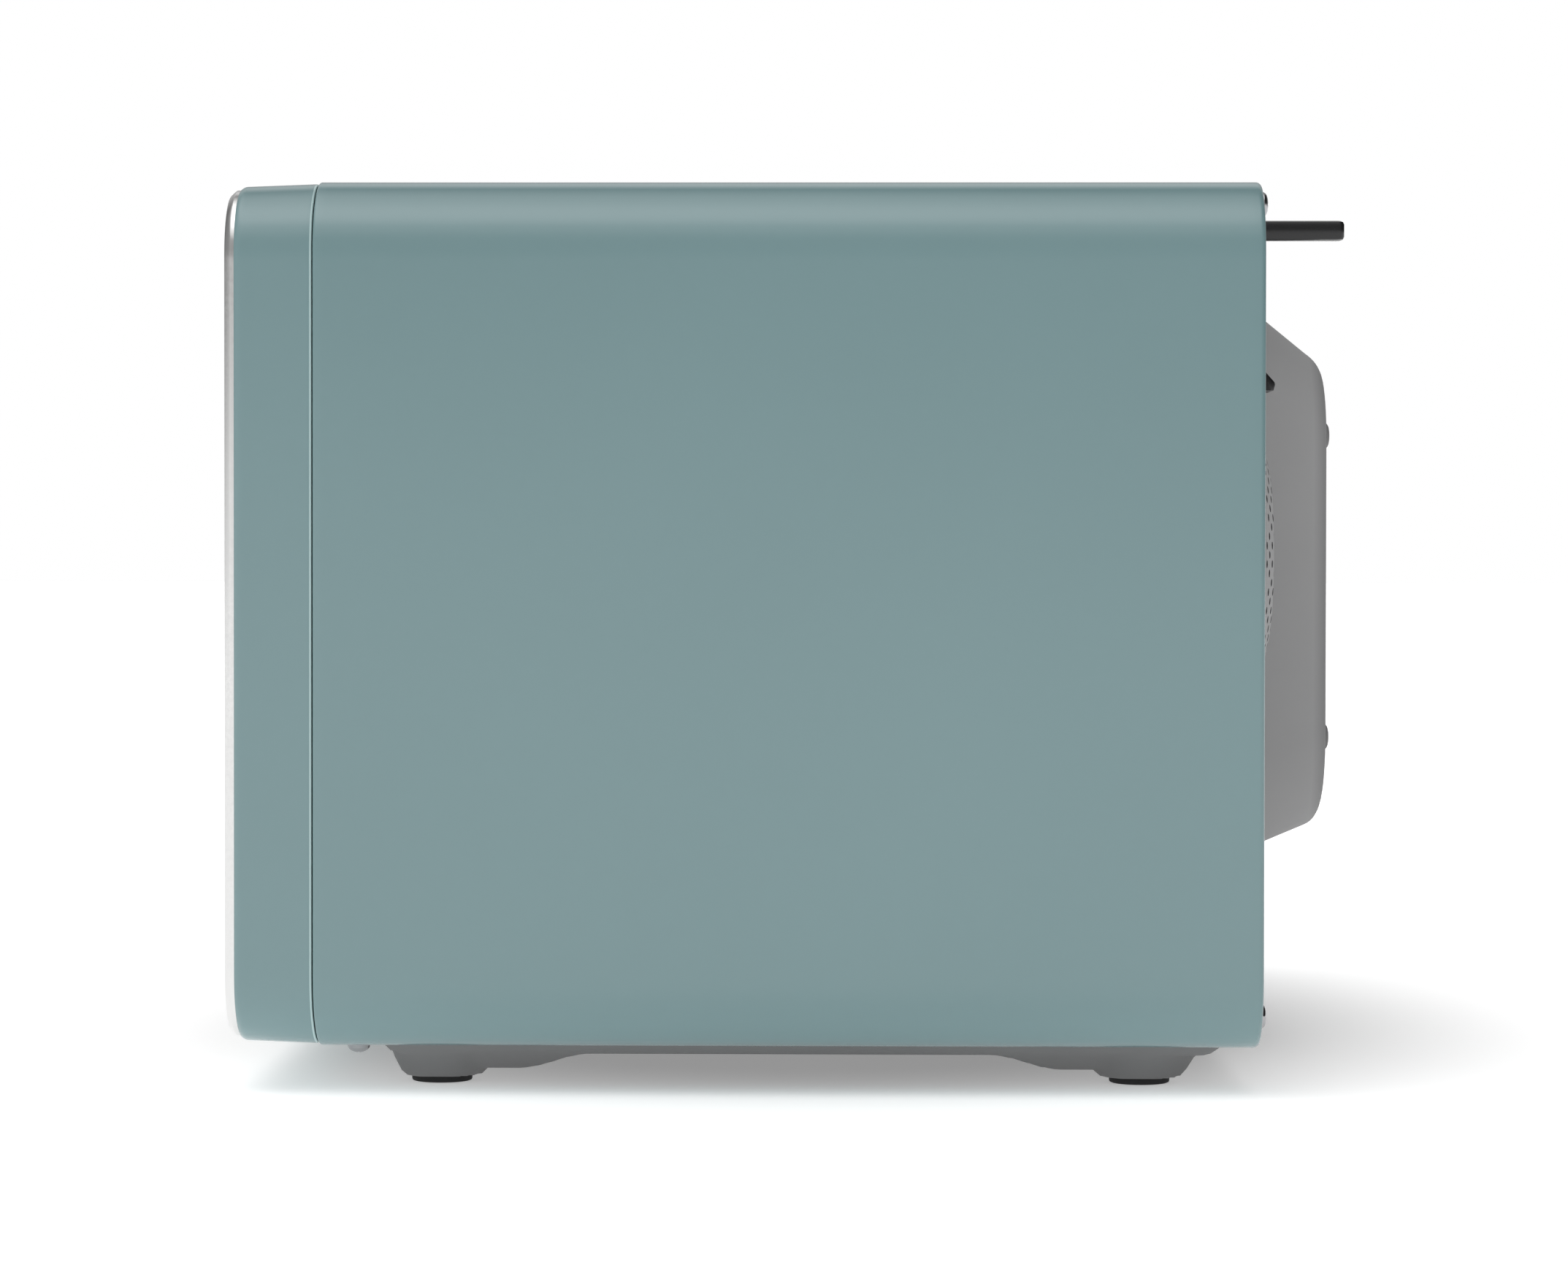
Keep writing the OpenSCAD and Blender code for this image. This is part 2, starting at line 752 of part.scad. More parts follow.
module door_screen() {
    bar = 3;
    pitch = 12;
    color([0.12, 0.12, 0.13]) difference() {
        box(window[0] - 2.8, window[1] + 2.8, face_y + sheet, face_y + sheet + 0.5,
            window[2] - 2.8, window[3] + 2.8);
        for (z = [window[2] + 4 : pitch : window[3] - pitch])
            box(window[0] + bar, window[1] - bar, face_y, face_y + 3, z, z + pitch - bar);
    }
}

module choke_cover() {
    color([0.1, 0.1, 0.11]) difference() {
        slab(channel_y1 + 0.2, seam_y) intersection() {
            outline(shell_inset + shell_t + 0.4);
            left_of(door_x - shell_t - 0.4);
        }
        slab(channel_y1 - 1, seam_y + 1)
            rounded(window[0] + 1, window[1] - 1, window[2] + 1, window[3] - 1, 8);
        for (z = hook_z)
            box(hook_x0 - 1, hook_x1 + 1, channel_y1, seam_y + 1, z - barb - 1, z + 11.5);
        hinge_room();
    }
}

module door_pane() {
    color([0.8, 0.85, 0.86, 0.5]) box(window[0] - 2.8, window[1] + 2.8, channel_y1 - 2.8,
        channel_y1, window[2] - 2.8, window[3] + 2.8);
}

module latch_hook() {
    bar_y0 = -172;
    bar_y1 = -167;
    color([0.86, 0.86, 0.84]) {
        box(hook_x0, hook_x1, bar_y0, bar_y1, hook_z[0] - 8, hook_z[1] + 12);
        for (z = hook_z) {
            box(hook_x0, hook_x1, bar_y1 - 0.1, hook_tip_y, z, z + 6);
            box(hook_x0, hook_x1, hook_tip_y - 6, hook_tip_y, z - barb, z + 0.1);
        }
    }
}

module latch_spring() {
    x = (hook_x0 + hook_x1) / 2;
    color([0.7, 0.71, 0.72]) difference() {
        rod_z(x, -169.5, hook_z[1] + 12, 272, 2.8);
        rod_z(x, -169.5, hook_z[1] + 11, 273, 1.8);
    }
}

// ---- controls ----

module open_button() {
    x0 = panel_mid_x - open_w / 2;
    x1 = panel_mid_x + open_w / 2;
    front_y = glass_y - 1.4;
    color([0.82, 0.82, 0.82]) {
        box(x0, x1, front_y, face_y + 1, open_z - open_h / 2, open_z + open_h / 2);
        box(x0 - 3, x1 + 3, face_y + 0.4, face_y + 2.4, open_z - open_h / 2 - 3,
            open_z + open_h / 2 + 3);
        box(stem_x - 2, stem_x + 2, face_y + 2.3, liner_y0 + 2, stem_z - 2, stem_z + 1.5);
    }
}

module release_lever() {
    color([0.9, 0.9, 0.88]) {
        rod_x(lever_y, lever_z, hook_x0 + 3, stem_x + 5, lever_r);
        box(stem_x - 4, stem_x + 4, lever_y - lever_r, lever_y + lever_r, 35, lever_z);
        box(hook_x0 + 3, hook_x1, lever_y, lever_y + 17, lever_z - lever_r, lever_z + 2.2);
    }
}

module function_button(x, z) {
    front_y = glass_y - 1.3;
    color([0.82, 0.82, 0.82]) {
        box(x - button_w / 2, x + button_w / 2, front_y, face_y + 1,
            z - button_h / 2, z + button_h / 2);
        box(x - button_w / 2 - 1.5, x + button_w / 2 + 1.5, face_y + 0.4, face_y + 1.4,
            z - button_h / 2 - 1.5, z + button_h / 2 + 1.5);
        box(x - 2, x + 2, face_y + 1.3, board_y - 2.8, z - 2, z + 2);
    }
}

module jog_dial() {
    front_y = glass_y - 1.7;
    color([0.82, 0.82, 0.82]) {
        difference() {
            rod_y(panel_mid_x, dial_z, front_y, glass_y - 0.3, dial_r);
            rod_y(panel_mid_x, dial_z + dial_r * 0.6, front_y - 1, front_y + 0.8, 6.5);
        }
        rod_y(panel_mid_x, dial_z, glass_y - 0.4, board_y - 0.6, 4);
    }
}

// ---- turntable ----

module drive_coupler() {
    hub_r = 8;
    lobe_h = 5.5;
    color([0.15, 0.15, 0.16]) translate([turn_x, turn_y, 0]) {
        rotate_extrude() polygon([
            [0, cavity_z0 - 10], [shaft_r, cavity_z0 - 10], [shaft_r, cavity_z0 + 1],
            [hub_r, cavity_z0 + 1], [hub_r, tray_z], [0, tray_z]
        ]);
        for (a = [0:120:240])
            rotate([0, 0, a]) box(5, 20, -4, 4, tray_z - lobe_h - 0.5, tray_z - 0.5);
    }
}

module glass_tray() {
    color([0.8, 0.88, 0.88, 0.5]) translate([turn_x, turn_y, 0]) {
        rotate_extrude() polygon([
            [0, tray_z], [track_r + 7, tray_z], [tray_r - 4, tray_z + 9], [tray_r, tray_z + 10],
            [tray_r, tray_z + 13], [tray_r - 5, tray_z + 13], [track_r + 4, tray_z + 4],
            [0, tray_z + 4]
        ]);
        for (a = [60:120:300])
            rotate([0, 0, a]) translate([16, 0, tray_z - 4]) cylinder(h = 4.1, r = 4);
    }
}

module roller_ring() {
    ring_r = track_r - 12;
    color([0.86, 0.86, 0.84]) translate([turn_x, turn_y, 0]) {
        rotate_extrude() translate([ring_r, roller_z - 4]) square([6, 8]);
        for (a = [90:120:330])
            rotate([0, 0, a]) rod_x(0, roller_z, ring_r + 5, track_r + 4.5, 2);
    }
}

module roller(i) {
    color([0.9, 0.9, 0.88]) translate([turn_x, turn_y, 0]) rotate([0, 0, 90 + 120 * i])
        difference() {
            rod_x(0, roller_z, track_r - 4, track_r + 4, roller_r);
            rod_x(0, roller_z, track_r - 5, track_r + 5, 2 + run);
        }
}

outer_case();
rear_panel();
base_plate();
rubber_feet();
front_plate();
cavity_liner();
hinge_bracket();  // hinge_lower
hinge_upper();
panel_shell();
panel_trim();
panel_glass();
display_module();
control_board();
latch_bracket();
microswitches();
waveguide();
waveguide_cover();
magnetron_yoke();
magnetron_fins();
transformer_core();
transformer_coils();
capacitor();
capacitor_clamp();
hv_diode();
fan_motor();
fan_duct();
noise_filter();
turntable_motor();
oven_lamp();
lamp_holder();
thermal_cutouts();
wall_spacers();
cord_gland();
rear_screws();
base_screws();
door_shell();
door_trim();
door_glass();
door_frame();
door_screen();
choke_cover();
door_pane();
latch_spring();
latch_hook();
open_button();
release_lever();
for (i = [0:5])
    function_button(button_x[i % 2], button_z[floor(i / 2)]);
jog_dial();
drive_coupler();
glass_tray();
roller_ring();
for (i = [0:2])
    roller(i);
fan_blade();
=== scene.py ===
import json
import math

import bmesh
import bpy
from mathutils import Matrix, Vector


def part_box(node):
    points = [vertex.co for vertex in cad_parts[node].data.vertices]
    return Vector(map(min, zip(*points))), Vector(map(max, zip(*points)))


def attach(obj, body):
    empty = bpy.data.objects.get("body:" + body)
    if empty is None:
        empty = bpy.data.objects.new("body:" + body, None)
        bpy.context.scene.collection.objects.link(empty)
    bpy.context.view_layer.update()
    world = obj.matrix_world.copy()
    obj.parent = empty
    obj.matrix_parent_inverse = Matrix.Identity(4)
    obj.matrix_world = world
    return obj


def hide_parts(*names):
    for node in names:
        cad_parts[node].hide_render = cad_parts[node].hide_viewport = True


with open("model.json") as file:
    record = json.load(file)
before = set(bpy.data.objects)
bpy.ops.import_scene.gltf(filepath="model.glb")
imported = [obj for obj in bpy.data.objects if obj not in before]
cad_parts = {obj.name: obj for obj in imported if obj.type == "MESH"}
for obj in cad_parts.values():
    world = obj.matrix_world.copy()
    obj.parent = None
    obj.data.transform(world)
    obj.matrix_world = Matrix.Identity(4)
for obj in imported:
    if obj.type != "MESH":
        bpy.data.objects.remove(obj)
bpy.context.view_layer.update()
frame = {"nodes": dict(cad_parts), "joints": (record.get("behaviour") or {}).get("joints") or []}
MM = 0.001


# ---- places taken from the frame ----

case_lo, case_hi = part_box("outer_case")
ring_lo, ring_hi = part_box("panel_shell")
rear_lo, rear_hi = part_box("rear_panel")
base_lo, base_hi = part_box("base_plate")
dial_lo, dial_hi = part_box("jog_dial")
screen_lo, screen_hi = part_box("door_screen")

CORNER_R = 24 * MM
FRONT_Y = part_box("panel_trim")[0].y
SHELL_Y = ring_lo.y
SEAM_Y = ring_hi.y
RING_BACK_Y = SEAM_Y + 0.5 * MM
CASE_Y = case_lo.y
BACK_Y = case_hi.y
RING_INSET = case_hi.x - ring_hi.x
DOOR_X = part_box("door_shell")[1].x
PANEL_X = ring_lo.x


# ---- mesh tools ----

def smooth(piece, sharp=35.0):
    """Smooth faces, with sharp edges above an angle."""
    piece.data.shade_smooth()
    piece.data.set_sharp_from_angle(angle=math.radians(sharp))
    return piece


def to_piece(name, bm, sharp=35.0):
    """A bmesh becomes a smooth object in the scene."""
    mesh = bpy.data.meshes.new(name)
    bm.to_mesh(mesh)
    bm.free()
    piece = bpy.data.objects.new(name, mesh)
    bpy.context.scene.collection.objects.link(piece)
    return smooth(piece, sharp)


def finish_mesh(name, bm, sharp=35.0):
    """Merges double points, turns the faces outwards and makes the object."""
    bmesh.ops.remove_doubles(bm, verts=bm.verts, dist=1e-6)
    bmesh.ops.recalc_face_normals(bm, faces=bm.faces)
    return to_piece(name, bm, sharp)


def apply_modifier(piece, kind, **settings):
    modifier = piece.modifiers.new(kind.lower(), kind)
    for key, value in settings.items():
        setattr(modifier, key, value)
    bpy.context.view_layer.update()
    seen = piece.evaluated_get(bpy.context.evaluated_depsgraph_get())
    mesh = bpy.data.meshes.new_from_object(seen)
    piece.modifiers.clear()
    old = piece.data
    piece.data = mesh
    bpy.data.meshes.remove(old)


def cut(piece, cutter, sharp=35.0):
    """Takes the cutter's solid out of the piece and deletes the cutter."""
    apply_modifier(piece, "BOOLEAN", operation="DIFFERENCE", object=cutter, solver="EXACT")
    bpy.data.objects.remove(cutter)
    return smooth(piece, sharp)


def join(name, pieces):
    """Several pieces' meshes as one object."""
    bm = bmesh.new()
    for piece in pieces:
        bm.from_mesh(piece.data)
        bpy.data.objects.remove(piece)
    return to_piece(name, bm)


def close_back(sheet, y, axis, sign):
    """Fills the rim behind y. The face furthest along the signed axis tells which way all of them turn."""
    bm = bmesh.new()
    bm.from_mesh(sheet.data)
    rim = [edge for edge in bm.edges if edge.is_boundary and edge.verts[0].co.y > y]
    bmesh.ops.holes_fill(bm, edges=rim, sides=0)
    bmesh.ops.recalc_face_normals(bm, faces=bm.faces)
    if max(bm.faces, key=lambda face: sign * face.calc_center_median()[axis]).normal[axis] < 0:
        bmesh.ops.reverse_faces(bm, faces=bm.faces)
    bm.to_mesh(sheet.data)
    bm.free()


def mm_points(*pairs):
    return [(a * MM, b * MM) for a, b in pairs]


def rect_path(x0, x1, z0, z1, radius, steps=10, guard=2 * MM):
    """A rounded rectangle, clockwise from the middle of its bottom. Guard points keep its flats flat."""
    r = max(radius, 0.05 * MM)
    path = [((x0 + x1) / 2, z0)]
    for x, z, start, before, after in (
        (x0 + r, z0 + r, 270, (guard, 0), (0, guard)),
        (x0 + r, z1 - r, 180, (0, -guard), (guard, 0)),
        (x1 - r, z1 - r, 90, (-guard, 0), (0, -guard)),
        (x1 - r, z0 + r, 0, (0, guard), (-guard, 0)),
    ):
        angles = [math.radians(start - 90 * i / steps) for i in range(steps + 1)]
        arc = [(x + r * math.cos(angle), z + r * math.sin(angle)) for angle in angles]
        path.append((arc[0][0] + before[0], arc[0][1] + before[1]))
        path.extend(arc)
        path.append((arc[-1][0] + after[0], arc[-1][1] + after[1]))
    return path


def outline(inset):
    """The case's front outline, set in evenly."""
    return rect_path(case_lo.x + inset, case_hi.x - inset, case_lo.z + inset, case_hi.z - inset,
                     CORNER_R - inset, 14)


def at_y(path, y):
    return [(x, y, z) for x, z in path]


def skin(bm, rings, wrap=True):
    """Quads between neighbouring rings of points."""
    for a, b in zip(rings, rings[1:]):
        for j in range(len(a) if wrap else len(a) - 1):
            k = (j + 1) % len(a)
            bm.faces.new((a[j], a[k], b[k], b[j]))


def loft(name, rings, close_rings=True, close_section=False, cap_ends=False, sharp=35.0):
    """A skin over rings of points, closed round each ring, along the rings, or with faces at its ends."""
    bm = bmesh.new()
    grid = [[bm.verts.new(point) for point in ring] for ring in rings]
    skin(bm, grid + grid[:1] if close_section else grid, close_rings)
    if cap_ends and close_section:
        bm.faces.new([ring[0] for ring in grid])
        bm.faces.new([ring[-1] for ring in reversed(grid)])
    elif cap_ends:
        bm.faces.new(list(reversed(grid[0])))
        bm.faces.new(grid[-1])
    return finish_mesh(name, bm, sharp)


def c_loft(name, section, x_split, keep_left, sharp=35.0):
    """A bar with a (y, inset) section that runs along the outline's left or right side, up to the split."""
    rings = [at_y(c_path(outline(inset), x_split, keep_left), y) for y, inset in section]
    return loft(name, rings, close_rings=False, close_section=True, cap_ends=True, sharp=sharp)


def c_path(path, x_split, keep_left):
    """The part of a closed outline on one side of the split, as an open path from bottom to top."""
    start_z = path[0][1]
    top_z = max(z for _, z in path)
    if keep_left:
        kept = [p for p in path[1:] if p[0] < 0]
    else:
        kept = [p for p in reversed(path[1:]) if p[0] > 0]
    return [(x_split, start_z)] + kept + [(x_split, top_z)]


def arc_section(y0, inset0, y1, inset1, steps=5, bulge_first=True):
    """Quarter-ellipse stations between two (y, inset) points."""
    stations = []
    for i in range(1, steps):
        t = math.radians(90 * i / steps)
        along, across = math.sin(t), 1 - math.cos(t)
        if not bulge_first:
            along, across = across, along
        stations.append((y0 + (y1 - y0) * along, inset0 + (inset1 - inset0) * across))
    return stations


def both_ends(ring, start, end, steps):
    """Sections between start and end that are drawn in at both ends by (run, inset) steps."""
    return ([ring(start + run, inset) for run, inset in steps]
            + [ring(end - run, inset) for run, inset in reversed(steps)])


def box_piece(name, lo, hi, bevel=0.0, steps=2):
    """A block with rounded edges, in mesh code."""
    bm = bmesh.new()
    bmesh.ops.create_cube(bm, size=1.0)
    bmesh.ops.scale(bm, vec=Vector(hi) - Vector(lo), verts=bm.verts)
    bmesh.ops.translate(bm, vec=(Vector(hi) + Vector(lo)) / 2, verts=bm.verts)
    if bevel:
        bmesh.ops.bevel(bm, geom=bm.edges[:], offset=bevel, segments=steps, profile=0.5, affect="EDGES",
                        clamp_overlap=True)
    return finish_mesh(name, bm)


def lathe(name, profile, centre, axis="Z", steps=48, sharp=35.0, closed=False):
    """A solid of revolution from (radius, height) points, or a ring if the profile is closed."""
    bm = bmesh.new()
    rings = []
    for radius, height in profile:
        ring = []
        for i in range(steps):
            a = 2 * math.pi * i / steps
            u, v = radius * math.cos(a), radius * math.sin(a)
            point = {"Z": (u, v, height), "Y": (u, height, v)}[axis]
            ring.append(bm.verts.new(Vector(point) + Vector(centre)))
        rings.append(ring)
    if closed:
        skin(bm, rings + rings[:1])
    else:
        skin(bm, rings)
        bm.faces.new(list(reversed(rings[0])))
        bm.faces.new(rings[-1])
    return finish_mesh(name, bm, sharp)


def hole_field(places, radius, depth, turn=0.0, axis="X", segments=12):
    """One cutter of many round holes at the places, turned about an axis from facing along Z."""
    bm = bmesh.new()
    for place in places:
        made = bmesh.ops.create_cone(bm, cap_ends=True, segments=segments, radius1=radius, radius2=radius,
                                     depth=depth, matrix=Matrix.Rotation(turn, 4, axis))
        bmesh.ops.translate(bm, verts=made["verts"], vec=place)
    return finish_mesh("cutter", bm)


# ---- materials ----

def grey(value):
    return (value, value, value, 1)


def tinted(color, factor):
    return (color[0] * factor, color[1] * factor, color[2] * factor, 1)


def add_node(tree, kind, out, sources=None, values=None, **options):
    """Adds a shader node and gives one of its outputs. Sources feed its sockets and values set them."""
    node = tree.nodes.new("ShaderNode" + kind)
    for key, value in options.items():
        setattr(node, key, value)
    for key, value in (values or {}).items():
        node.inputs[key].default_value = value
    for key, source in (sources or {}).items():
        tree.links.new(source, node.inputs[key])
    return node.outputs[out]


def new_material(name, **principled):
    material = bpy.data.materials.new(name)
    material.use_nodes = True
    shader = material.node_tree.nodes["Principled BSDF"]
    for key, value in principled.items():
        shader.inputs[key.replace("_", " ")].default_value = value
    return material, material.node_tree, shader


def noise_of(tree, scale, detail=2.0, stretch=(1, 1, 1)):
    place = add_node(tree, "TexCoord", "Object")
    mapped = add_node(tree, "Mapping", "Vector", {"Vector": place}, {"Scale": stretch})
    return add_node(tree, "TexNoise", "Fac", {"Vector": mapped}, {"Scale": scale, "Detail": detail})


def ramp_of(tree, source, *stops):
    """A colour ramp through (position, colour) stops."""
    ramp = tree.nodes.new("ShaderNodeValToRGB")
    elements = ramp.color_ramp.elements
    while len(elements) < len(stops):
        elements.new(0.5)
    for element, (position, color) in zip(elements, stops):
        element.position = position
        element.color = color
    tree.links.new(source, ramp.inputs["Fac"])
    return ramp.outputs["Color"]


def blend_of(tree, source, low, high):
    """From low to high over the middle of a noise's range."""
    return ramp_of(tree, source, (0.3, low), (0.7, high))


def bump_of(tree, shader, source, strength, distance):
    values = {"Strength": strength, "Distance": distance}
    tree.links.new(add_node(tree, "Bump", "Normal", {"Height": source}, values), shader.inputs["Normal"])


def surface(name, color, roughness, spread=0.03, cloud=12.0, grain=900.0, depth=0.02, rough_spread=0.05,
            stretch=(1, 1, 1), **principled):
    """A finish with slow colour clouds, uneven gloss and a fine grain, depth millimetres deep."""
    material, tree, shader = new_material(name, **principled)
    clouds = noise_of(tree, cloud, 3.0)
    tree.links.new(blend_of(tree, clouds, tinted(color, 1 - spread), tinted(color, 1 + spread)),
                   shader.inputs["Base Color"])
    fine = noise_of(tree, grain, 3.0, stretch)
    tree.links.new(blend_of(tree, fine, grey(max(roughness - rough_spread, 0.02)),
                            grey(min(roughness + rough_spread, 1.0))), shader.inputs["Roughness"])
    bump_of(tree, shader, fine, 0.6, depth * MM)
    return material


def painted_light_behind(material, y0, y1, color):
    """Paints light into the base colour between two planes, towards a piece's rear edge: a painted highlight
    or painted shade.
    """
    tree = material.node_tree
    base = tree.nodes["Principled BSDF"].inputs["Base Color"]
    place = add_node(tree, "TexCoord", "Object")
    depth = add_node(tree, "SeparateXYZ", "Y", {"Vector": place})
    share = add_node(tree, "MapRange", "Result", {"Value": depth}, {"From Min": y0, "From Max": y1})
    mix = tree.nodes.new("ShaderNodeMix")
    mix.data_type = "RGBA"
    under, over = [socket for socket in mix.inputs if socket.enabled and socket.name in "AB"]
    over.default_value = color
    tree.links.new(share, mix.inputs[0])
    tree.links.new(base.links[0].from_socket, under)
    tree.links.new(next(socket for socket in mix.outputs if socket.enabled), base)


SAGE = (0.174, 0.281, 0.293)
RING_PAINTED_HIGHLIGHT = (0.5, 0.66, 0.66, 1)
BULGE_PAINTED_SHADE = (0.2, 0.2, 0.202, 1)

sage_finish = dict(spread=0.012, cloud=9.0, grain=1400.0, depth=0.001, rough_spread=0.03,
                   Specular_IOR_Level=0.7)
powder_finish = dict(cloud=14.0, grain=1100.0, depth=0.03, Specular_IOR_Level=0.05)
paint = surface("sage_paint", SAGE, 0.14, **sage_finish)
ring_paint_painted_highlight = surface("sage_ring_painted_highlight", SAGE, 0.16, **sage_finish)
# Painted highlight: a lighter lip on the ring's rear edge stands in for light caught on its rounding.
painted_light_behind(ring_paint_painted_highlight, RING_BACK_Y - 0.8 * MM, RING_BACK_Y - 0.5 * MM, RING_PAINTED_HIGHLIGHT)
grey_paint_painted_shade = surface("grey_powder_painted_shade", (0.355, 0.355, 0.358), 0.55, **powder_finish)
# Painted shade: the rear panel's grey turns darker towards the bulge's rear edge, standing in for shade on
# its rounding.
painted_light_behind(grey_paint_painted_shade, BACK_Y + 27 * MM, BACK_Y + 33 * MM, BULGE_PAINTED_SHADE)
# Painted shade: the base plate takes a darker copy of the rear panel's grey, standing in for the shade under
# the oven.
underside_painted_shade = surface("grey_underside_painted_shade", (0.23, 0.23, 0.232), 0.55, **powder_finish)
chrome = surface("satin_chrome", (0.7, 0.7, 0.695), 0.16, spread=0.02, grain=700.0, rough_spread=0.03,
                 depth=0.0005, Metallic=1.0)
screw_metal = surface("screw_plate", (0.4, 0.4, 0.41), 0.2, spread=0.05, depth=0.004, Metallic=1.0)
zinc = surface("zinc_sheet", (0.6, 0.61, 0.62), 0.42, cloud=26.0, grain=500.0, depth=0.004,
               stretch=(1, 1, 6), Metallic=1.0)
satin_metal = surface("satin_button", (0.68, 0.68, 0.68), 0.3, spread=0.02, grain=500.0, depth=0.003,
                      stretch=(12, 1, 1), Metallic=1.0)
aluminium = surface("aluminium_sheet", (0.75, 0.75, 0.76), 0.3, spread=0.05, grain=700.0, Metallic=1.0)
copper = surface("copper_wire", (0.5, 0.2, 0.08), 0.35, spread=0.15, grain=260.0, depth=0.2,
                 stretch=(0.1, 0.1, 8), Metallic=0.8)
laminate = surface("core_laminate", (0.08, 0.08, 0.085), 0.5, spread=0.1, grain=500.0, depth=0.1,
                   stretch=(0.05, 8, 0.05), Metallic=0.5)
black_plastic = surface("black_plastic", (0.022, 0.022, 0.024), 0.45, spread=0.12, grain=1600.0, depth=0.03)
glossy_black = surface("glossy_black", (0.009, 0.009, 0.01), 0.24, spread=0.1, grain=1600.0, depth=0.01,
                       rough_spread=0.03)
rubber = surface("black_rubber", (0.018, 0.018, 0.019), 0.75, spread=0.2, grain=1200.0, depth=0.03)
pale_plastic = surface("pale_plastic", (0.72, 0.72, 0.69), 0.4, spread=0.02)
enamel = surface("cavity_enamel", (0.56, 0.56, 0.54), 0.3, spread=0.02, grain=800.0, depth=0.01,
                 Coat_Weight=0.3, Coat_Roughness=0.1)
dark_enamel = surface("dark_enamel", (0.02, 0.02, 0.022), 0.3, spread=0.1, depth=0.01)
board_green = surface("board_green", (0.02, 0.14, 0.06), 0.35, spread=0.25, cloud=220.0)
mica = surface("mica_sheet", (0.5, 0.44, 0.33), 0.45, spread=0.25, cloud=90.0, grain=400.0)
ink = surface("dark_ink", (0.02, 0.02, 0.022), 0.5)
white_print = surface("white_print", (0.75, 0.75, 0.75), 0.5)
black_glass = surface("black_glass", (0.004, 0.004, 0.005), 0.04, spread=0.1, grain=60.0, depth=0.001,
                      rough_spread=0.01)


def glowing_print():
    material, tree, shader = new_material("display_glow", Base_Color=(0.3, 0.75, 0.8, 1), Roughness=0.4,
                                          Emission_Strength=1.4)
    tree.links.new(blend_of(tree, noise_of(tree, 1500.0, 1.0), (0.50, 0.85, 0.9, 1), (0.62, 0.95, 1.0, 1)),
                   shader.inputs["Emission Color"])
    return material


def spun_finish(centre):
    """Bright metal turned on a lathe: fine circles about the dial's centre."""
    material, tree, shader = new_material("spun_metal", Metallic=1.0)
    place = add_node(tree, "TexCoord", "Object")
    offset = add_node(tree, "VectorMath", "Vector", {0: place}, {1: centre}, operation="SUBTRACT")
    flat = add_node(tree, "VectorMath", "Vector", {0: offset}, {1: (1, 0, 1)}, operation="MULTIPLY")
    radius = add_node(tree, "VectorMath", "Value", {0: flat}, operation="LENGTH")
    circles = add_node(tree, "TexNoise", "Fac", {"W": radius}, {"Scale": 2600.0, "Detail": 4.0},
                       noise_dimensions="1D")
    tree.links.new(blend_of(tree, circles, grey(0.22), grey(0.36)), shader.inputs["Roughness"])
    tree.links.new(blend_of(tree, circles, grey(0.55), grey(0.68)), shader.inputs["Base Color"])
    bump_of(tree, shader, circles, 0.5, 0.01 * MM)
    return material


def window_glass(name, lo, hi):
    """Near-black printed glass with a smoky clear window between two corners, soft at its edge."""
    material, tree, shader = new_material(name, IOR=1.5)
    edge = 2 * MM
    place = add_node(tree, "TexCoord", "Object")
    masks = {}
    for i, (axis, low, high) in enumerate((("X", lo[0], hi[0]), ("Z", lo[1], hi[1]))):
        across = add_node(tree, "SeparateXYZ", axis, {"Vector": place})
        shift = add_node(tree, "Math", 0, {0: across}, {1: (low + high) / 2}, operation="SUBTRACT")
        away = add_node(tree, "Math", 0, {0: shift}, operation="ABSOLUTE")
        half = (high - low) / 2
        masks[i] = add_node(tree, "MapRange", "Result", {"Value": away},
                            {"From Min": half + edge, "From Max": half - edge})
    clear = add_node(tree, "Math", 0, masks, operation="MULTIPLY")
    tree.links.new(ramp_of(tree, clear, (0, (0.004, 0.004, 0.005, 1)), (1, (0.16, 0.165, 0.17, 1))),
                   shader.inputs["Base Color"])
    tree.links.new(ramp_of(tree, clear, (0, grey(0)), (1, grey(0.9))), shader.inputs["Transmission Weight"])
    tree.links.new(blend_of(tree, noise_of(tree, 40.0, 1.0), grey(0.02), grey(0.05)),
                   shader.inputs["Roughness"])
    return material


def clear_glass(name, color):
    """Clear glass with a faint haze that varies."""
    material, tree, shader = new_material(name, Base_Color=color, IOR=1.5, Transmission_Weight=1.0)
    tree.links.new(blend_of(tree, noise_of(tree, 30.0), grey(0.01), grey(0.05)), shader.inputs["Roughness"])
    return material


glow = glowing_print()
spun_metal = spun_finish(tuple((dial_lo + dial_hi) / 2))
lamp_glass = clear_glass("lamp_glass", (0.93, 0.95, 0.95, 1))
tray_glass = clear_glass("tray_glass", (0.86, 0.94, 0.92, 1))
SCREEN_BORDER = 4 * MM
door_glass = window_glass("door_glass_tint", (screen_lo.x + SCREEN_BORDER, screen_lo.z + SCREEN_BORDER),
                          (screen_hi.x - SCREEN_BORDER, screen_hi.z - SCREEN_BORDER))


def set_material(piece, material):
    piece.data.materials.clear()
    piece.data.materials.append(material)


def dress(piece, material, body, node=None):
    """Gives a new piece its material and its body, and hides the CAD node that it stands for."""
    set_material(piece, material)
    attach(piece, body)
    if node:
        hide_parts(node)


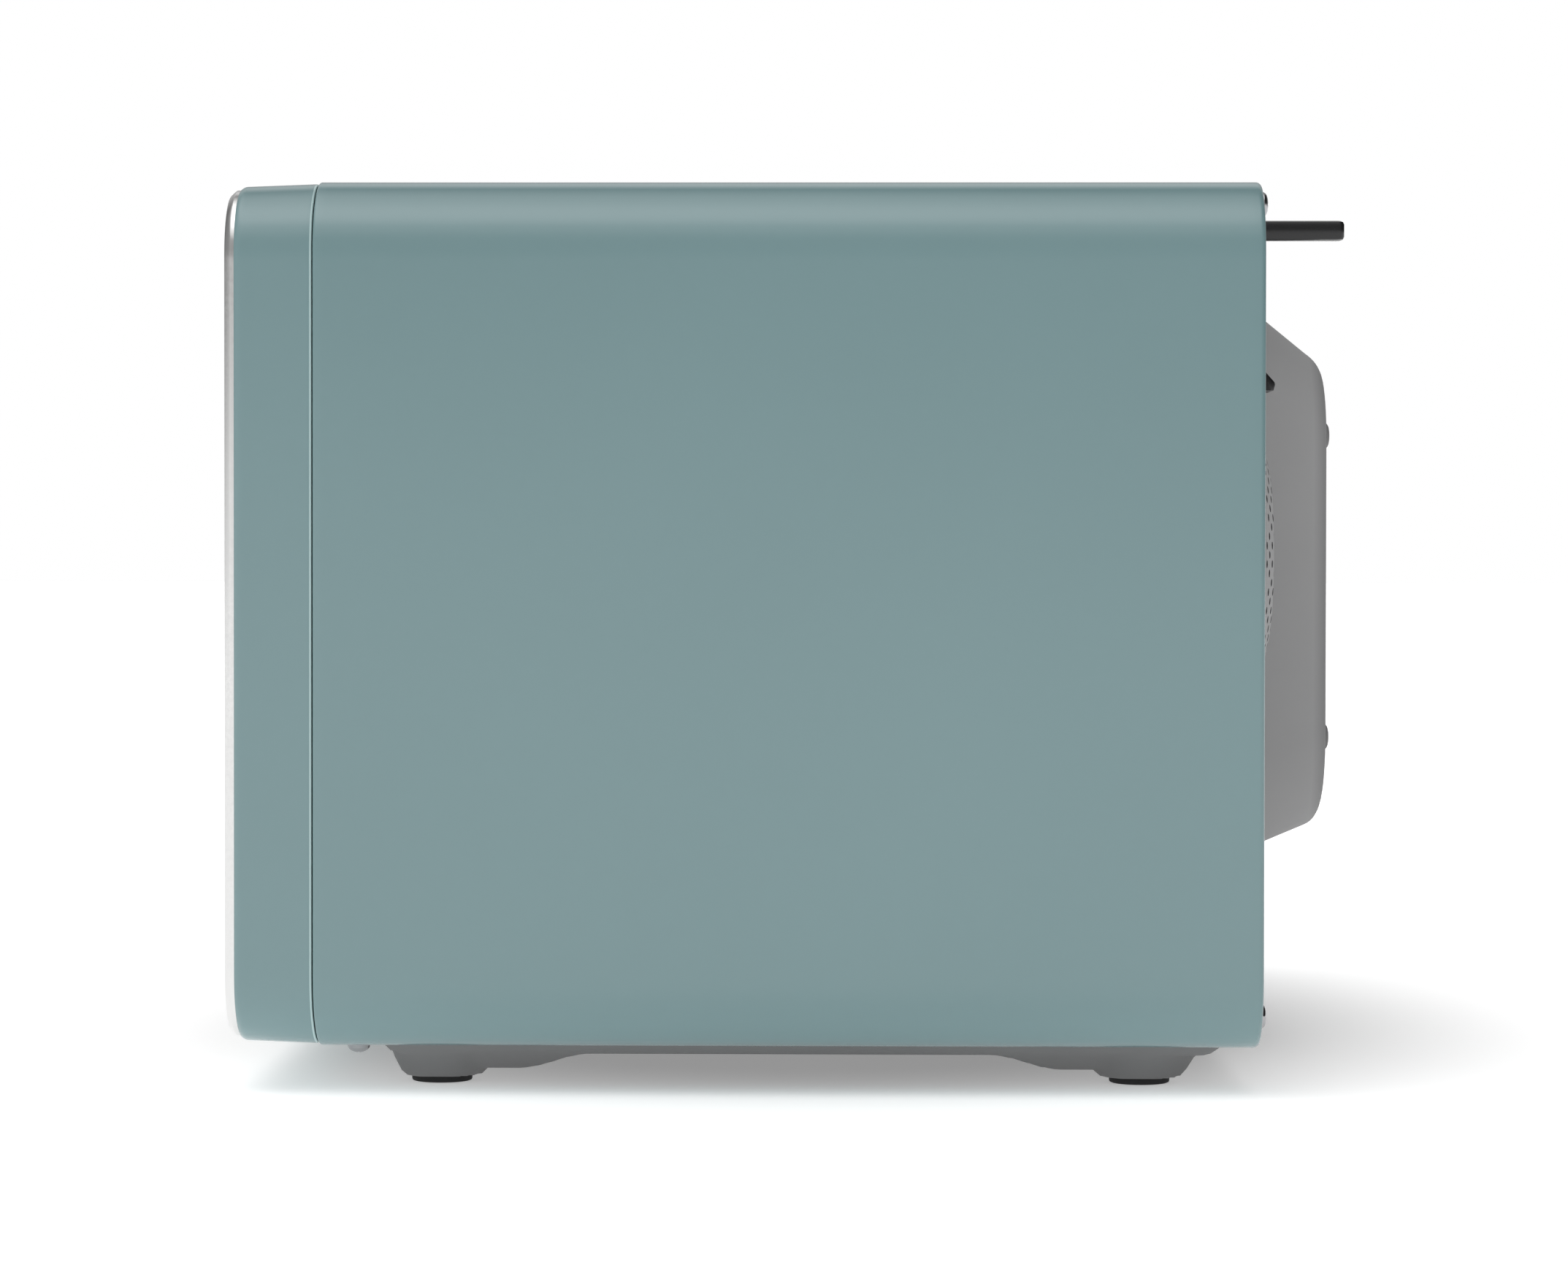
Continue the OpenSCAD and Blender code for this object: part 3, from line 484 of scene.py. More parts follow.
for node_names, node_material in (
    ("front_plate hinge_lower hinge_upper waveguide magnetron_yoke capacitor_clamp", zinc),
    ("turntable_motor latch_spring", zinc),
    ("cavity_liner", enamel),
    ("door_frame door_screen", dark_enamel),
    ("panel_glass display_module", black_glass),
    ("door_glass", door_glass),
    ("control_board noise_filter", board_green),
    ("microswitches hv_diode fan_duct thermal_cutouts choke_cover drive_coupler", black_plastic),
    ("latch_bracket latch_hook release_lever lamp_holder roller_ring", pale_plastic),
    ("roller_1 roller_2 roller_3 fan_blade", pale_plastic),
    ("waveguide_cover", mica),
    ("magnetron_fins capacitor", aluminium),
    ("transformer_core fan_motor", laminate),
    ("transformer_coils", copper),
    ("oven_lamp door_pane", lamp_glass),
    ("glass_tray", tray_glass),
):
    for node_name in node_names.split():
        set_material(frame["nodes"][node_name], node_material)


# ---- wrap case ----

def wrap_case():
    """The painted sheet: rolled front edge, round corners, rear bend and flange, open along the bottom."""
    sheet = 1.2 * MM
    bend = 1.8 * MM
    roll = 0.9 * MM
    front = CASE_Y + 0.25 * MM
    flange = 16 * MM
    bottom_open = 200 * MM
    room_x = 216 * MM
    room_y = (-138 * MM, 139 * MM)
    section = [(front, sheet), (front, roll)]
    section += arc_section(front, roll, front + roll, 0, bulge_first=False)
    section += [(front + roll, 0), (CASE_Y + 4 * MM, 0), (0, 0), (BACK_Y - bend - 3 * MM, 0),
                (BACK_Y - bend, 0)]
    section += arc_section(BACK_Y - bend, 0, BACK_Y, bend, 6)
    section += [(BACK_Y, bend), (BACK_Y, bend + 2 * MM), (BACK_Y, flange), (BACK_Y - sheet, flange),
                (BACK_Y - sheet, sheet), (CASE_Y + 2 * MM, sheet)]
    rings = []
    for y, inset in section:
        bottom = case_lo.z + inset
        rings.append(at_y([(-bottom_open, bottom)] + outline(inset)[1:] + [(bottom_open, bottom)], y))
    case = loft("wrap_case", rings, close_rings=False, close_section=True, cap_ends=True)
    cut(case, box_piece("cutter", (-room_x, room_y[0], case_lo.z - 1 * MM),
                        (room_x, room_y[1], case_lo.z + sheet + 0.1 * MM)))
    dress(case, paint, "cabinet", "outer_case")


wrap_case()


# ---- coloured front ring: door side and panel side ----

def ring_side(name, x_split, keep_left):
    wall = 2.5 * MM
    fillet = 3 * MM
    draft = 0.9 * MM
    edge = 0.6 * MM
    flange_in = RING_INSET + 12 * MM
    front = SHELL_Y - 0.8 * MM
    face_y = SHELL_Y + wall

    def side_inset(y):
        return RING_INSET + draft * (SEAM_Y - y) / (SEAM_Y - SHELL_Y)

    face_in = side_inset(front) + fillet
    side_y = front + fillet
    turn_y = RING_BACK_Y - edge
    section = [(front, flange_in), (front, face_in + 1 * MM), (front, face_in)]
    section += arc_section(front, face_in, side_y, side_inset(side_y), 7, bulge_first=False)
    section += [(y, side_inset(y)) for y in (side_y, side_y + 1 * MM, turn_y - 1 * MM, turn_y)]
    section += arc_section(turn_y, side_inset(turn_y), RING_BACK_Y, RING_INSET + edge, 4)
    section += [(RING_BACK_Y, RING_INSET + edge), (RING_BACK_Y, RING_INSET + wall),
                (face_y, RING_INSET + wall), (face_y, flange_in)]
    band = c_loft(name + "_band", section, x_split, keep_left)
    x0, x1 = (x_split - wall, x_split) if keep_left else (x_split, x_split + wall)
    inner = RING_INSET + wall - 0.3 * MM
    post = box_piece(name + "_post", (x0, face_y, case_lo.z + inner), (x1, SEAM_Y, case_hi.z - inner),
                     0.3 * MM)
    return join(name, [band, post])


PIVOT = Vector(next(joint for joint in frame["joints"] if joint["name"] == "door_swing")["pos_m"])
SWEEP_R = 11.8 * MM
HINGE_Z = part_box("hinge_lower")[0].z
MIRROR_Z = case_lo.z + case_hi.z


def cut_hinge_room(piece):
    """Slots for the fixed hinge brackets and the round rear edge that lets the door swing."""
    slot_h = 3.7 * MM
    for z0 in (HINGE_Z - 0.7 * MM, MIRROR_Z - HINGE_Z - 3 * MM):
        cut(piece, box_piece("cutter", (PIVOT.x - 20 * MM, PIVOT.y - 7.5 * MM, z0),
                             (PIVOT.x + 16 * MM, PIVOT.y + 20 * MM, z0 + slot_h)))
    relief = box_piece("cutter", (case_lo.x - 2 * MM, PIVOT.y, 0), (PIVOT.x, CASE_Y + 4 * MM, case_hi.z))
    cut(relief, lathe("cutter", [(SWEEP_R, -2 * MM), (SWEEP_R, case_hi.z + 2 * MM)], (PIVOT.x, PIVOT.y, 0),
                      "Z", 64))
    return cut(piece, relief)


dress(cut_hinge_room(ring_side("door_ring", DOOR_X, True)), ring_paint_painted_highlight, "door", "door_shell")
dress(ring_side("panel_ring", PANEL_X, False), ring_paint_painted_highlight, "cabinet", "panel_shell")


# ---- bright trim ----

def trim_side(name, x_split, keep_left):
    """A bright frame with a sloping outer band, a flat face and a soft inner edge."""
    outer = RING_INSET + 2 * MM
    section = mm_points((2.35, 0), (2, 0.12), (1.65, 0.4), (0.35, 1.6), (0.1, 1.95), (0, 2.4), (0, 3),
                        (0, 8.8), (0.15, 9.4), (0.7, 10))
    section = [(FRONT_Y + back, outer + inset) for back, inset in section]
    section = [(SHELL_Y, outer)] + section + [(SHELL_Y, outer + 10 * MM)]
    return c_loft(name, section, x_split, keep_left, sharp=50)


dress(trim_side("door_trim_bright", DOOR_X, True), chrome, "door", "door_trim")
dress(trim_side("panel_trim_bright", PANEL_X, False), chrome, "cabinet", "panel_trim")


# ---- rear panel: sheet, bulge, pressed studs, exhaust slots and perforated fan inlet ----

SHEET_BACK_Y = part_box("cord_gland")[0].y
BULGE_Y = BACK_Y + 32.2 * MM
BULGE = (-215 * MM, 129 * MM, 69.5 * MM, 265.2 * MM)
FAN = Vector((178 * MM, 0, 174.5 * MM))
DOME_R = 47 * MM


def bulge_rings():
    """Rings from the sheet's edge over the bulge's sloping flanks to its flat end."""
    left, right, low, high = BULGE
    slope_y = BULGE_Y - 6.05 * MM
    foot = 2.5 * MM
    foot_y = SHEET_BACK_Y + foot
    foot_corner, slope_corner, end_corner = 34, 30, 20
    flank = (9, 10, 19.7)
    early_bend = (2, 2.2, 3.9)
    late_bend = (10, 12.5, 10.5)
    end = (30 * MM, 36 * MM, 41.5 * MM)

    def ring(y, insets, radius):
        side, bottom, top = insets
        return at_y(rect_path(left + side, right - side, low + bottom, high - top, radius), y)

    rings = [at_y(rect_path(rear_lo.x, rear_hi.x, rear_lo.z, rear_hi.z, 21 * MM), SHEET_BACK_Y)]
    for t in (0.0, 0.25, 0.5, 0.75, 1.0):
        rise = foot * (1 - math.cos(t * math.pi / 2))
        run = foot * (1 - math.sin(t * math.pi / 2))
        rings.append(ring(SHEET_BACK_Y + rise, (-run, -run, -run), foot_corner * MM + run))
    for t in (0.25, 0.5, 0.75):
        rings.append(ring(foot_y + (slope_y - foot_y) * t, [inset * MM * t for inset in flank],
                          (foot_corner + (slope_corner - foot_corner) * t) * MM))
    for i in range(11):
        t = i / 10
        early, late = 2 * t * (1 - t), t * t
        insets = [(a + b * early + c * late) * MM for a, b, c in zip(flank, early_bend, late_bend)]
        rings.append(ring(slope_y + (BULGE_Y - slope_y) * (early + late), insets,
                          (slope_corner + (end_corner - slope_corner) * late) * MM))
    rings.append(ring(BULGE_Y, end, 14 * MM))
    return rings


def fan_inlet():
    """A shallow dome, flat on top with a sloping flank, and a staggered field of small round holes."""
    top_y = BACK_Y + 5.95 * MM
    wall = 0.6 * MM
    flat_r = 28.5 * MM
    soften = 1.5 * MM
    fall = 0.25
    steps = 28
    rim = 1.6 * MM
    outer = [(DOME_R + out, SHEET_BACK_Y + up) for out, up in mm_points((2, 0.05), (0.6, 0.2), (0, 0.9))]
    inner = [(DOME_R - rim, rear_lo.y), (DOME_R + 2 * MM, rear_lo.y)]
    for i in range(steps + 1):
        r = (DOME_R - 1 * MM) * (1 - i / steps) + 0.4 * MM * i / steps
        slide = max(r - flat_r, 0)
        y = top_y - fall * slide * slide / (slide + soften)
        outer.append((r, y))
        inner.insert(0, (min(r, DOME_R - rim), y - wall))
    dome = lathe("fan_dome", outer + inner, FAN, "Y", 96, closed=True)
    pitch = 6.05 * MM
    column = pitch * math.sin(math.radians(60))
    reach = DOME_R - 2.7 * MM
    places = []
    for i in range(-9, 10):
        for j in range(-9, 10):
            x = (i + 0.4) * column
            z = (j + 0.5 * ((i + 1) % 2)) * pitch
            if math.hypot(x, z) <= reach:
                places.append((FAN.x + x, BACK_Y + 4 * MM, FAN.z + z))
    return cut(dome, hole_field(places, 1.3 * MM, 24 * MM, math.pi / 2))


def rear_panel():
    sheet = loft("rear_sheet", bulge_rings())
    close_back(sheet, BULGE_Y - 1 * MM, 1, 1)
    apply_modifier(sheet, "SOLIDIFY", thickness=1.2 * MM, offset=-1)
    cutters = []
    for i in range(10):
        x = (-90 + 20 * i) * MM
        cutters.append(box_piece("slot", (x, SHEET_BACK_Y - 5 * MM, 270.5 * MM),
                                 (x + 10 * MM, SHEET_BACK_Y + 5 * MM, 273.5 * MM), 0.9 * MM, 3))
    hole_r = DOME_R - 0.5 * MM
    centre = (FAN.x, SHEET_BACK_Y, FAN.z)
    cutters.append(lathe("hole", [(hole_r, -6 * MM), (hole_r, 6 * MM)], centre, "Y", 96))
    cut(sheet, join("cutter", cutters))
    stud = mm_points((4.75, -0.6), (4.7, 0.2), (4.45, 0.75), (4.0, 1.25), (3.2, 1.65), (2.1, 1.87),
                     (0.8, 1.95))
    studs = [lathe("stud", stud, (100 * MM, BULGE_Y, z * MM), "Y", 32) for z in (111, 216.2)]
    panel = join("rear_panel_pressed", [sheet, fan_inlet()] + studs)
    dress(panel, grey_paint_painted_shade, "cabinet", "rear_panel")
    # Painted shade: the walls of the fan inlet's holes take black plastic, so that the holes read dark.
    panel.data.materials.append(black_plastic)
    for face in panel.data.polygons:
        from_fan = math.hypot(face.center.x - FAN.x, face.center.z - FAN.z)
        if from_fan < DOME_R - 2 * MM and face.center.y > SHEET_BACK_Y and abs(face.normal.y) < 0.3:
            face.material_index = 1


rear_panel()


# ---- underside: stamped base plate with cupped feet ----

PAD_X = 192 * MM
PAD_Y = (-118.2 * MM, 112.8 * MM)
TRAY_Z = 10.5 * MM
TAIL_Z = 5 * MM
CUP_Z = 2.25 * MM
FLANGE_Z = base_hi.z - 1 * MM


def step_up(value, a, b, low, high):
    """A smooth step from low at a to high at b."""
    t = min(max((value - a) / (b - a), 0.0), 1.0)
    return low + (high - low) * t * t * (3 - 2 * t)


def foot_height(x, y):
    """Height of the underside near the feet: round cups, each with a low tail towards the oven's middle."""
    best = TRAY_Z
    for side in (-1, 1):
        for pad_y in PAD_Y:
            dx = x - side * PAD_X
            dy = y - pad_y
            best = min(best, step_up(math.hypot(dx, dy), 13 * MM, 20.5 * MM, CUP_Z, TRAY_Z))
            along = -dy if pad_y > 0 else dy
            if along > 0:
                best = min(best, max(step_up(along, 26 * MM, 50 * MM, TAIL_Z, TRAY_Z),
                                     step_up(abs(dx), 9 * MM, 19 * MM, TAIL_Z, TRAY_Z)))
    return best


def under_height(x, y):
    """The cupped tray, and the rounded wall that rises from it to the flange."""
    bend = 8 * MM
    past_tray = max(abs(x) - 208 * MM, -128 * MM - y, y - 130 * MM, 0)
    edge = min(past_tray, bend) / bend
    foot = foot_height(x, y)
    return foot + (FLANGE_Z - foot) * (1 - math.sqrt(1 - edge * edge))


def base_plate():
    bm = bmesh.new()
    step = 2.2 * MM
    long, deep = base_hi.x - base_lo.x, base_hi.y - base_lo.y
    nx, ny = round(long / step), round(deep / step)
    ys = [base_lo.y + deep * j / ny for j in range(ny + 1)]
    rows = []
    for i in range(nx + 1):
        x = base_lo.x + long * i / nx
        rows.append([bm.verts.new((x, y, under_height(x, y))) for y in ys])
    skin(bm, rows, False)
    plate = finish_mesh("base_stamped", bm)
    if plate.data.polygons[0].normal.z > 0:
        plate.data.flip_normals()
    apply_modifier(plate, "SOLIDIFY", thickness=0.9 * MM, offset=-1)
    smooth(plate, 50)
    dress(plate, underside_painted_shade, "cabinet", "base_plate")


base_plate()


def rubber_feet():
    profile = mm_points((9.2, 0), (9.8, 0.25), (10, 0.8), (10, 2.3))
    pads = [lathe("pad", profile, (x, y, 0)) for x in (-PAD_X, PAD_X) for y in PAD_Y]
    dress(join("rubber_pads", pads), rubber, "cabinet", "rubber_feet")


rubber_feet()


# ---- screws ----

def screw_head(centre, axis, sign, rise_h):
    """A domed head with a dished rim and a cross recess, standing on centre along the axis."""
    rim_h = 0.8 * MM
    dome_r = 3.7 * MM
    profile = mm_points((3.85, 0), (4, 0.25), (4, 0.55), (3.75, 0.8))
    for i in range(1, 7):
        t = math.radians(90 * i / 7)
        profile.append((dome_r * math.cos(t) + 0.02 * MM, rim_h + (rise_h - rim_h) * math.sin(t)))
    head = lathe("head", [(r, h * sign) for r, h in profile], centre, axis, 40)
    long, thin, deep = 2.1 * MM, 0.35 * MM, 1.2 * MM
    lo_h, hi_h = sorted(((rise_h - deep) * sign, (rise_h + 1 * MM) * sign))
    for u, v in ((long, thin), (thin, long)):
        corners = (((-u, lo_h, -v), (u, hi_h, v)) if axis == "Y" else ((-u, -v, lo_h), (u, v, hi_h)))
        cut(head, box_piece("arm", *(Vector(centre) + Vector(corner) for corner in corners)), 40)
    return head


def screws():
    rear = [screw_head((x * MM, BACK_Y, z * MM), "Y", 1, 2 * MM)
            for x, z in ((-226, 287.5), (226, 287.5), (-229, 25.5), (229, 25.5))]
    dress(join("rear_screw_heads", rear), screw_metal, "cabinet", "rear_screws")
    base = [screw_head((x * MM, -143.5 * MM, case_lo.z), "Z", -1, 3.2 * MM) for x in (-214.5, 214.5)]
    dress(join("base_screw_heads", base), screw_metal, "cabinet", "base_screws")


screws()


# ---- rear wall spacers and cord gland ----

def spacer(x0):
    """A bar with rounded rear corners in plan and softened edges."""
    lo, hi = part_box("wall_spacers")
    width = 8 * MM
    length = hi.y - BACK_Y
    radius = 2 * MM
    soften = 1.2 * MM
    middle = x0 + width / 2
    plan = [(x0, BACK_Y)]
    for cx, start in ((x0 + radius, 180), (x0 + width - radius, 90)):
        for i in range(9):
            a = math.radians(start - 90 * i / 8)
            plan.append((cx + radius * math.cos(a), hi.y - radius + radius * math.sin(a)))
    plan.append((x0 + width, BACK_Y))

    def ring(z, inset):
        return [(middle + (x - middle) * (width - 2 * inset) / width,
                 BACK_Y + (y - BACK_Y) * (length - inset) / length, z) for x, y in plan]

    rings = both_ends(ring, lo.z, hi.z, ((0, soften), (soften * 0.3, soften * 0.3), (soften, 0)))
    return loft("spacer", rings, cap_ends=True, sharp=40)


def spacers():
    lo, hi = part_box("wall_spacers")
    blocks = join("spacer_blocks", [spacer(lo.x), spacer(hi.x - 8 * MM)])
    dress(blocks, glossy_black, "cabinet", "wall_spacers")


spacers()


def gland():
    """A wedge-shaped cord entry with a flat underside that holds the round opening."""
    lo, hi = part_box("cord_gland")
    nose = hi.y
    foot_z = 228.8 * MM
    soften = 1.2 * MM
    profile = [(BACK_Y, hi.z), (BACK_Y, foot_z)]
    profile += [(nose - back, foot_z + up)
                for back, up in mm_points((0.7, 0), (0.2, 0.2), (0, 0.7), (0, 2.2), (0.3, 2.9))]

    def ring(x, inset):
        points = []
        for y, z in profile:
            depth = (y - BACK_Y) / (nose - BACK_Y)
            points.append((x, y - inset * depth, min(z, hi.z - inset) if z > foot_z + 3 * MM else z))
        return points

    rings = both_ends(ring, lo.x, hi.x, ((0, soften), (0.35 * MM, 0.4 * MM), (soften, 0)))
    body = loft("gland_body", rings, cap_ends=True, sharp=40)
    bore = lathe("cutter", mm_points((2.9, -4), (2.9, 3)), (FAN.x, BACK_Y + 3.6 * MM, foot_z), "Z", 32)
    cut(body, bore, 40)
    dress(body, glossy_black, "cabinet", "cord_gland")


gland()


# ---- controls on the panel: display, keys, open button and dial ----

PANEL_FACE_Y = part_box("panel_glass")[0].y
PANEL_BACK_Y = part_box("panel_glass")[1].y
PRINT_T = 0.08 * MM
FLANGE_Y = PANEL_BACK_Y + 0.4 * MM


def printed_bar(x, z, width, height, y=PANEL_FACE_Y):
    return box_piece("bar", (x - width / 2, y - PRINT_T, z - height / 2), (x + width / 2, y, z + height / 2),
                     0.02 * MM, 1)


def seven_segment(digit, x, z, height):
    """A plain seven-segment numeral made of its lit bars."""
    width = height * 0.52
    thick = height * 0.11
    half = height / 2
    lit = {"0": "abcdef", "1": "bc", "2": "abged"}[digit]
    across = {"a": height, "g": half, "d": 0.0}
    upright = {"f": (0.0, 0.75), "b": (width, 0.75), "e": (0.0, 0.25), "c": (width, 0.25)}
    bars = []
    for bar in lit:
        if bar in across:
            bars.append(printed_bar(x + width / 2, z + across[bar], width - 1.4 * thick, thick))
        else:
            dx, share = upright[bar]
            bars.append(printed_bar(x + dx, z + height * share, thick, half - 1.4 * thick))
    return bars


def display_digits():
    lo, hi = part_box("display_module")
    middle = (lo.x + hi.x) / 2
    height = 14 * MM
    dot = 1.6 * MM
    z = (lo.z + hi.z) / 2 - height / 2
    bars = []
    for digit, offset in (("1", -28), ("2", -15), ("0", 7), ("0", 20)):
        bars += seven_segment(digit, middle + offset * MM, z, height)
    bars += [printed_bar(middle, z + height * share, dot, dot) for share in (0.3, 0.7)]
    dress(join("display_digits", bars), glow, "cabinet")


display_digits()


def key_cap(lo, hi, radius, crown):
    """A rounded key with a softly crowned front, standing from hi.y out to lo.y."""
    half_z = (hi.z - lo.z) / 2
    edge = 0.7 * MM

    def ring(y, inset):
        return at_y(rect_path(lo.x + inset, hi.x - inset, lo.z + inset, hi.z - inset,
                              max(radius - inset, 0.3 * MM), 8, 0.3 * MM), y)

    rings = [ring(hi.y, 0)]
    for i in range(7):
        t = math.radians(15 * i)
        rings.append(ring(lo.y + crown + edge * (1 - math.sin(t)), edge * (1 - math.cos(t))))
    for t in (0.3, 0.6, 0.9):
        rings.append(ring(lo.y + crown * math.cos(t * math.pi / 2), edge + (half_z - edge) * 0.9 * t))
    return loft("cap", rings, cap_ends=True)


def key_symbol(index, x, z, y):
    """A small generic pictogram for each function key: waves, clock, plus, steps, stop and pause."""
    thin = 0.5 * MM
    long = 6 * MM
    clock_r = 2.4 * MM
    clock = [(clock_r, 0), (clock_r, -PRINT_T), (clock_r - thin, -PRINT_T), (clock_r - thin, 0)]
    bars = {
        1: [(0, dz * MM, long, thin) for dz in (-1.6, 0, 1.6)],
        2: [(0, 0.7 * MM, thin, 1.6 * MM)],
        3: [(0, 0, 5 * MM, thin), (0, 0, thin, 5 * MM)],
        4: [(0, (i - 1) * 1.4 * MM, long - 1.8 * i * MM, thin) for i in range(3)],
        5: [(0, 0, 3.4 * MM, 3.4 * MM)],
        6: [(dx * MM, 0, 0.8 * MM, 4 * MM) for dx in (-1.1, 1.1)],
    }
    marks = [lathe("ring", clock, (x, y, z), "Y", 32, closed=True)] if index == 2 else []
    return marks + [printed_bar(x + dx, z + dz, width, height, y) for dx, dz, width, height in bars[index]]


def keys():
    skirt = 1.5 * MM
    flange_t = 1 * MM
    stem = 2 * MM
    for index in range(1, 7):
        node = f"button_{index}"
        lo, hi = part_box(node)
        mid = (lo + hi) / 2
        parts = [key_cap(Vector((lo.x + skirt, lo.y + PRINT_T, lo.z + skirt)),
                         Vector((hi.x - skirt, PANEL_BACK_Y + 0.5 * MM, hi.z - skirt)), 3 * MM, 0.2 * MM),
                 box_piece("flange", (lo.x, FLANGE_Y, lo.z), (hi.x, FLANGE_Y + flange_t, hi.z), 0.3 * MM),
                 box_piece("stem", (mid.x - stem, PANEL_BACK_Y + 1.2 * MM, mid.z - stem),
                           (mid.x + stem, hi.y, mid.z + stem), 0.3 * MM)]
        dress(join(node + "_cap", parts), satin_metal, node, node)
        marks = key_symbol(index, mid.x, mid.z, lo.y + PRINT_T + 0.06 * MM)
        dress(join(node + "_mark", marks), ink, node)


keys()


def open_key():
    """The wide door key, with its hidden flange, the push stem behind it and a square mark."""
    lo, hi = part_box("open_button")
    skirt = 3 * MM
    height = 20 * MM
    flange_t = 2 * MM
    stem_x, stem_z = 147 * MM, 37.75 * MM
    stem_w, stem_h = 2 * MM, 1.75 * MM
    side, line = 6 * MM, 0.6 * MM
    cap_lo = Vector((lo.x + skirt, lo.y + PRINT_T, hi.z - skirt - height))
    cap_hi = Vector((hi.x - skirt, PANEL_BACK_Y + 0.6 * MM, hi.z - skirt))
    parts = [key_cap(cap_lo, cap_hi, 4 * MM, 0.3 * MM),
             box_piece("flange", (lo.x, FLANGE_Y, cap_lo.z - skirt), (hi.x, FLANGE_Y + flange_t, hi.z),
                       0.4 * MM),
             box_piece("stem", (stem_x - stem_w, PANEL_BACK_Y + 2 * MM, stem_z - stem_h),
                       (stem_x + stem_w, hi.y, stem_z + stem_h), 0.4 * MM)]
    dress(join("open_button_key", parts), satin_metal, "open_button", "open_button")
    mid = (cap_lo + cap_hi) / 2
    y = lo.y + PRINT_T + 0.08 * MM
    marks = [printed_bar(mid.x + dx * MM, mid.z, line, side, y) for dx in (-1.5, 4.5)]
    marks += [printed_bar(mid.x + 1.5 * MM, mid.z + dz * MM, side, line, y) for dz in (2.7, -2.7)]
    dress(join("open_button_mark", marks), ink, "open_button")


open_key()


def dial():
    """A flat spun-metal dial: knurled rim, dished face, finger dimple and shaft, with a scale of dots."""
    centre = Vector(((dial_lo.x + dial_hi.x) / 2, 0, (dial_lo.z + dial_hi.z) / 2))
    radius = (dial_hi.x - dial_lo.x) / 2
    shaft_r = 4 * MM
    front = dial_lo.y
    back = PANEL_FACE_Y - 0.3 * MM
    dish_y = front + 0.45 * MM
    teeth = 90
    groove = 0.25 * MM
    rim = mm_points((0.35, 0.1), (0.8, 0), (2, 0), (2.5, 0.2), (3.2, 0.3))
    profile = [(shaft_r, dial_hi.y, 0), (shaft_r, back, 0), (radius - 0.6 * MM, back, 0),
               (radius, back - 0.25 * MM, 1), (radius, dish_y, 1)]
    profile += [(radius - inset, front + down, 0) for inset, down in rim]
    profile += [(radius * 0.6, front + 0.4 * MM, 0), (radius * 0.3, dish_y, 0), (0.5 * MM, dish_y, 0)]
    bm = bmesh.new()
    rings = []
    for r, y, cut_in in profile:
        ring = []
        for i in range(2 * teeth):
            a = math.pi * i / teeth
            reach = r - groove * cut_in * (i % 2)
            ring.append(bm.verts.new((centre.x + reach * math.cos(a), y, centre.z + reach * math.sin(a))))
        rings.append(ring)
    skin(bm, rings)
    bm.faces.new(list(reversed(rings[0])))
    bm.faces.new(rings[-1])
    body = finish_mesh("dial_disc", bm)
    dimple_r, ball_r = 6.5 * MM, 30 * MM
    drop = ball_r - math.sqrt(ball_r * ball_r - dimple_r * dimple_r)
    face = front + 0.38 * MM
    ball = [(dimple_r * 1.15, face - 1.5 * MM)]
    for i in range(9):
        r = dimple_r * (1 - i / 9) + 0.1 * MM
        ball.append((r, face - 0.02 * MM + drop - (ball_r - math.sqrt(ball_r * ball_r - r * r))))
    cut(body, lathe("cutter", ball, (centre.x, 0, centre.z + radius * 0.6), "Y"), 30)
    dress(body, spun_metal, "jog_dial", "jog_dial")
    scale_r = 36 * MM
    marks = []
    for i in range(11):
        a = math.radians(240 - 30 * i)
        dot_r = (0.75 if i in (0, 5, 10) else 0.45) * MM
        place = (centre.x + scale_r * math.cos(a), PANEL_FACE_Y, centre.z + scale_r * math.sin(a))
        marks.append(lathe("dot", [(dot_r, 0), (dot_r, -PRINT_T)], place, "Y", 20))
    dress(join("dial_scale", marks), white_print, "cabinet")


dial()


# ---- inside: cavity with a pressed back and vent holes, and the door's perforated screen ----

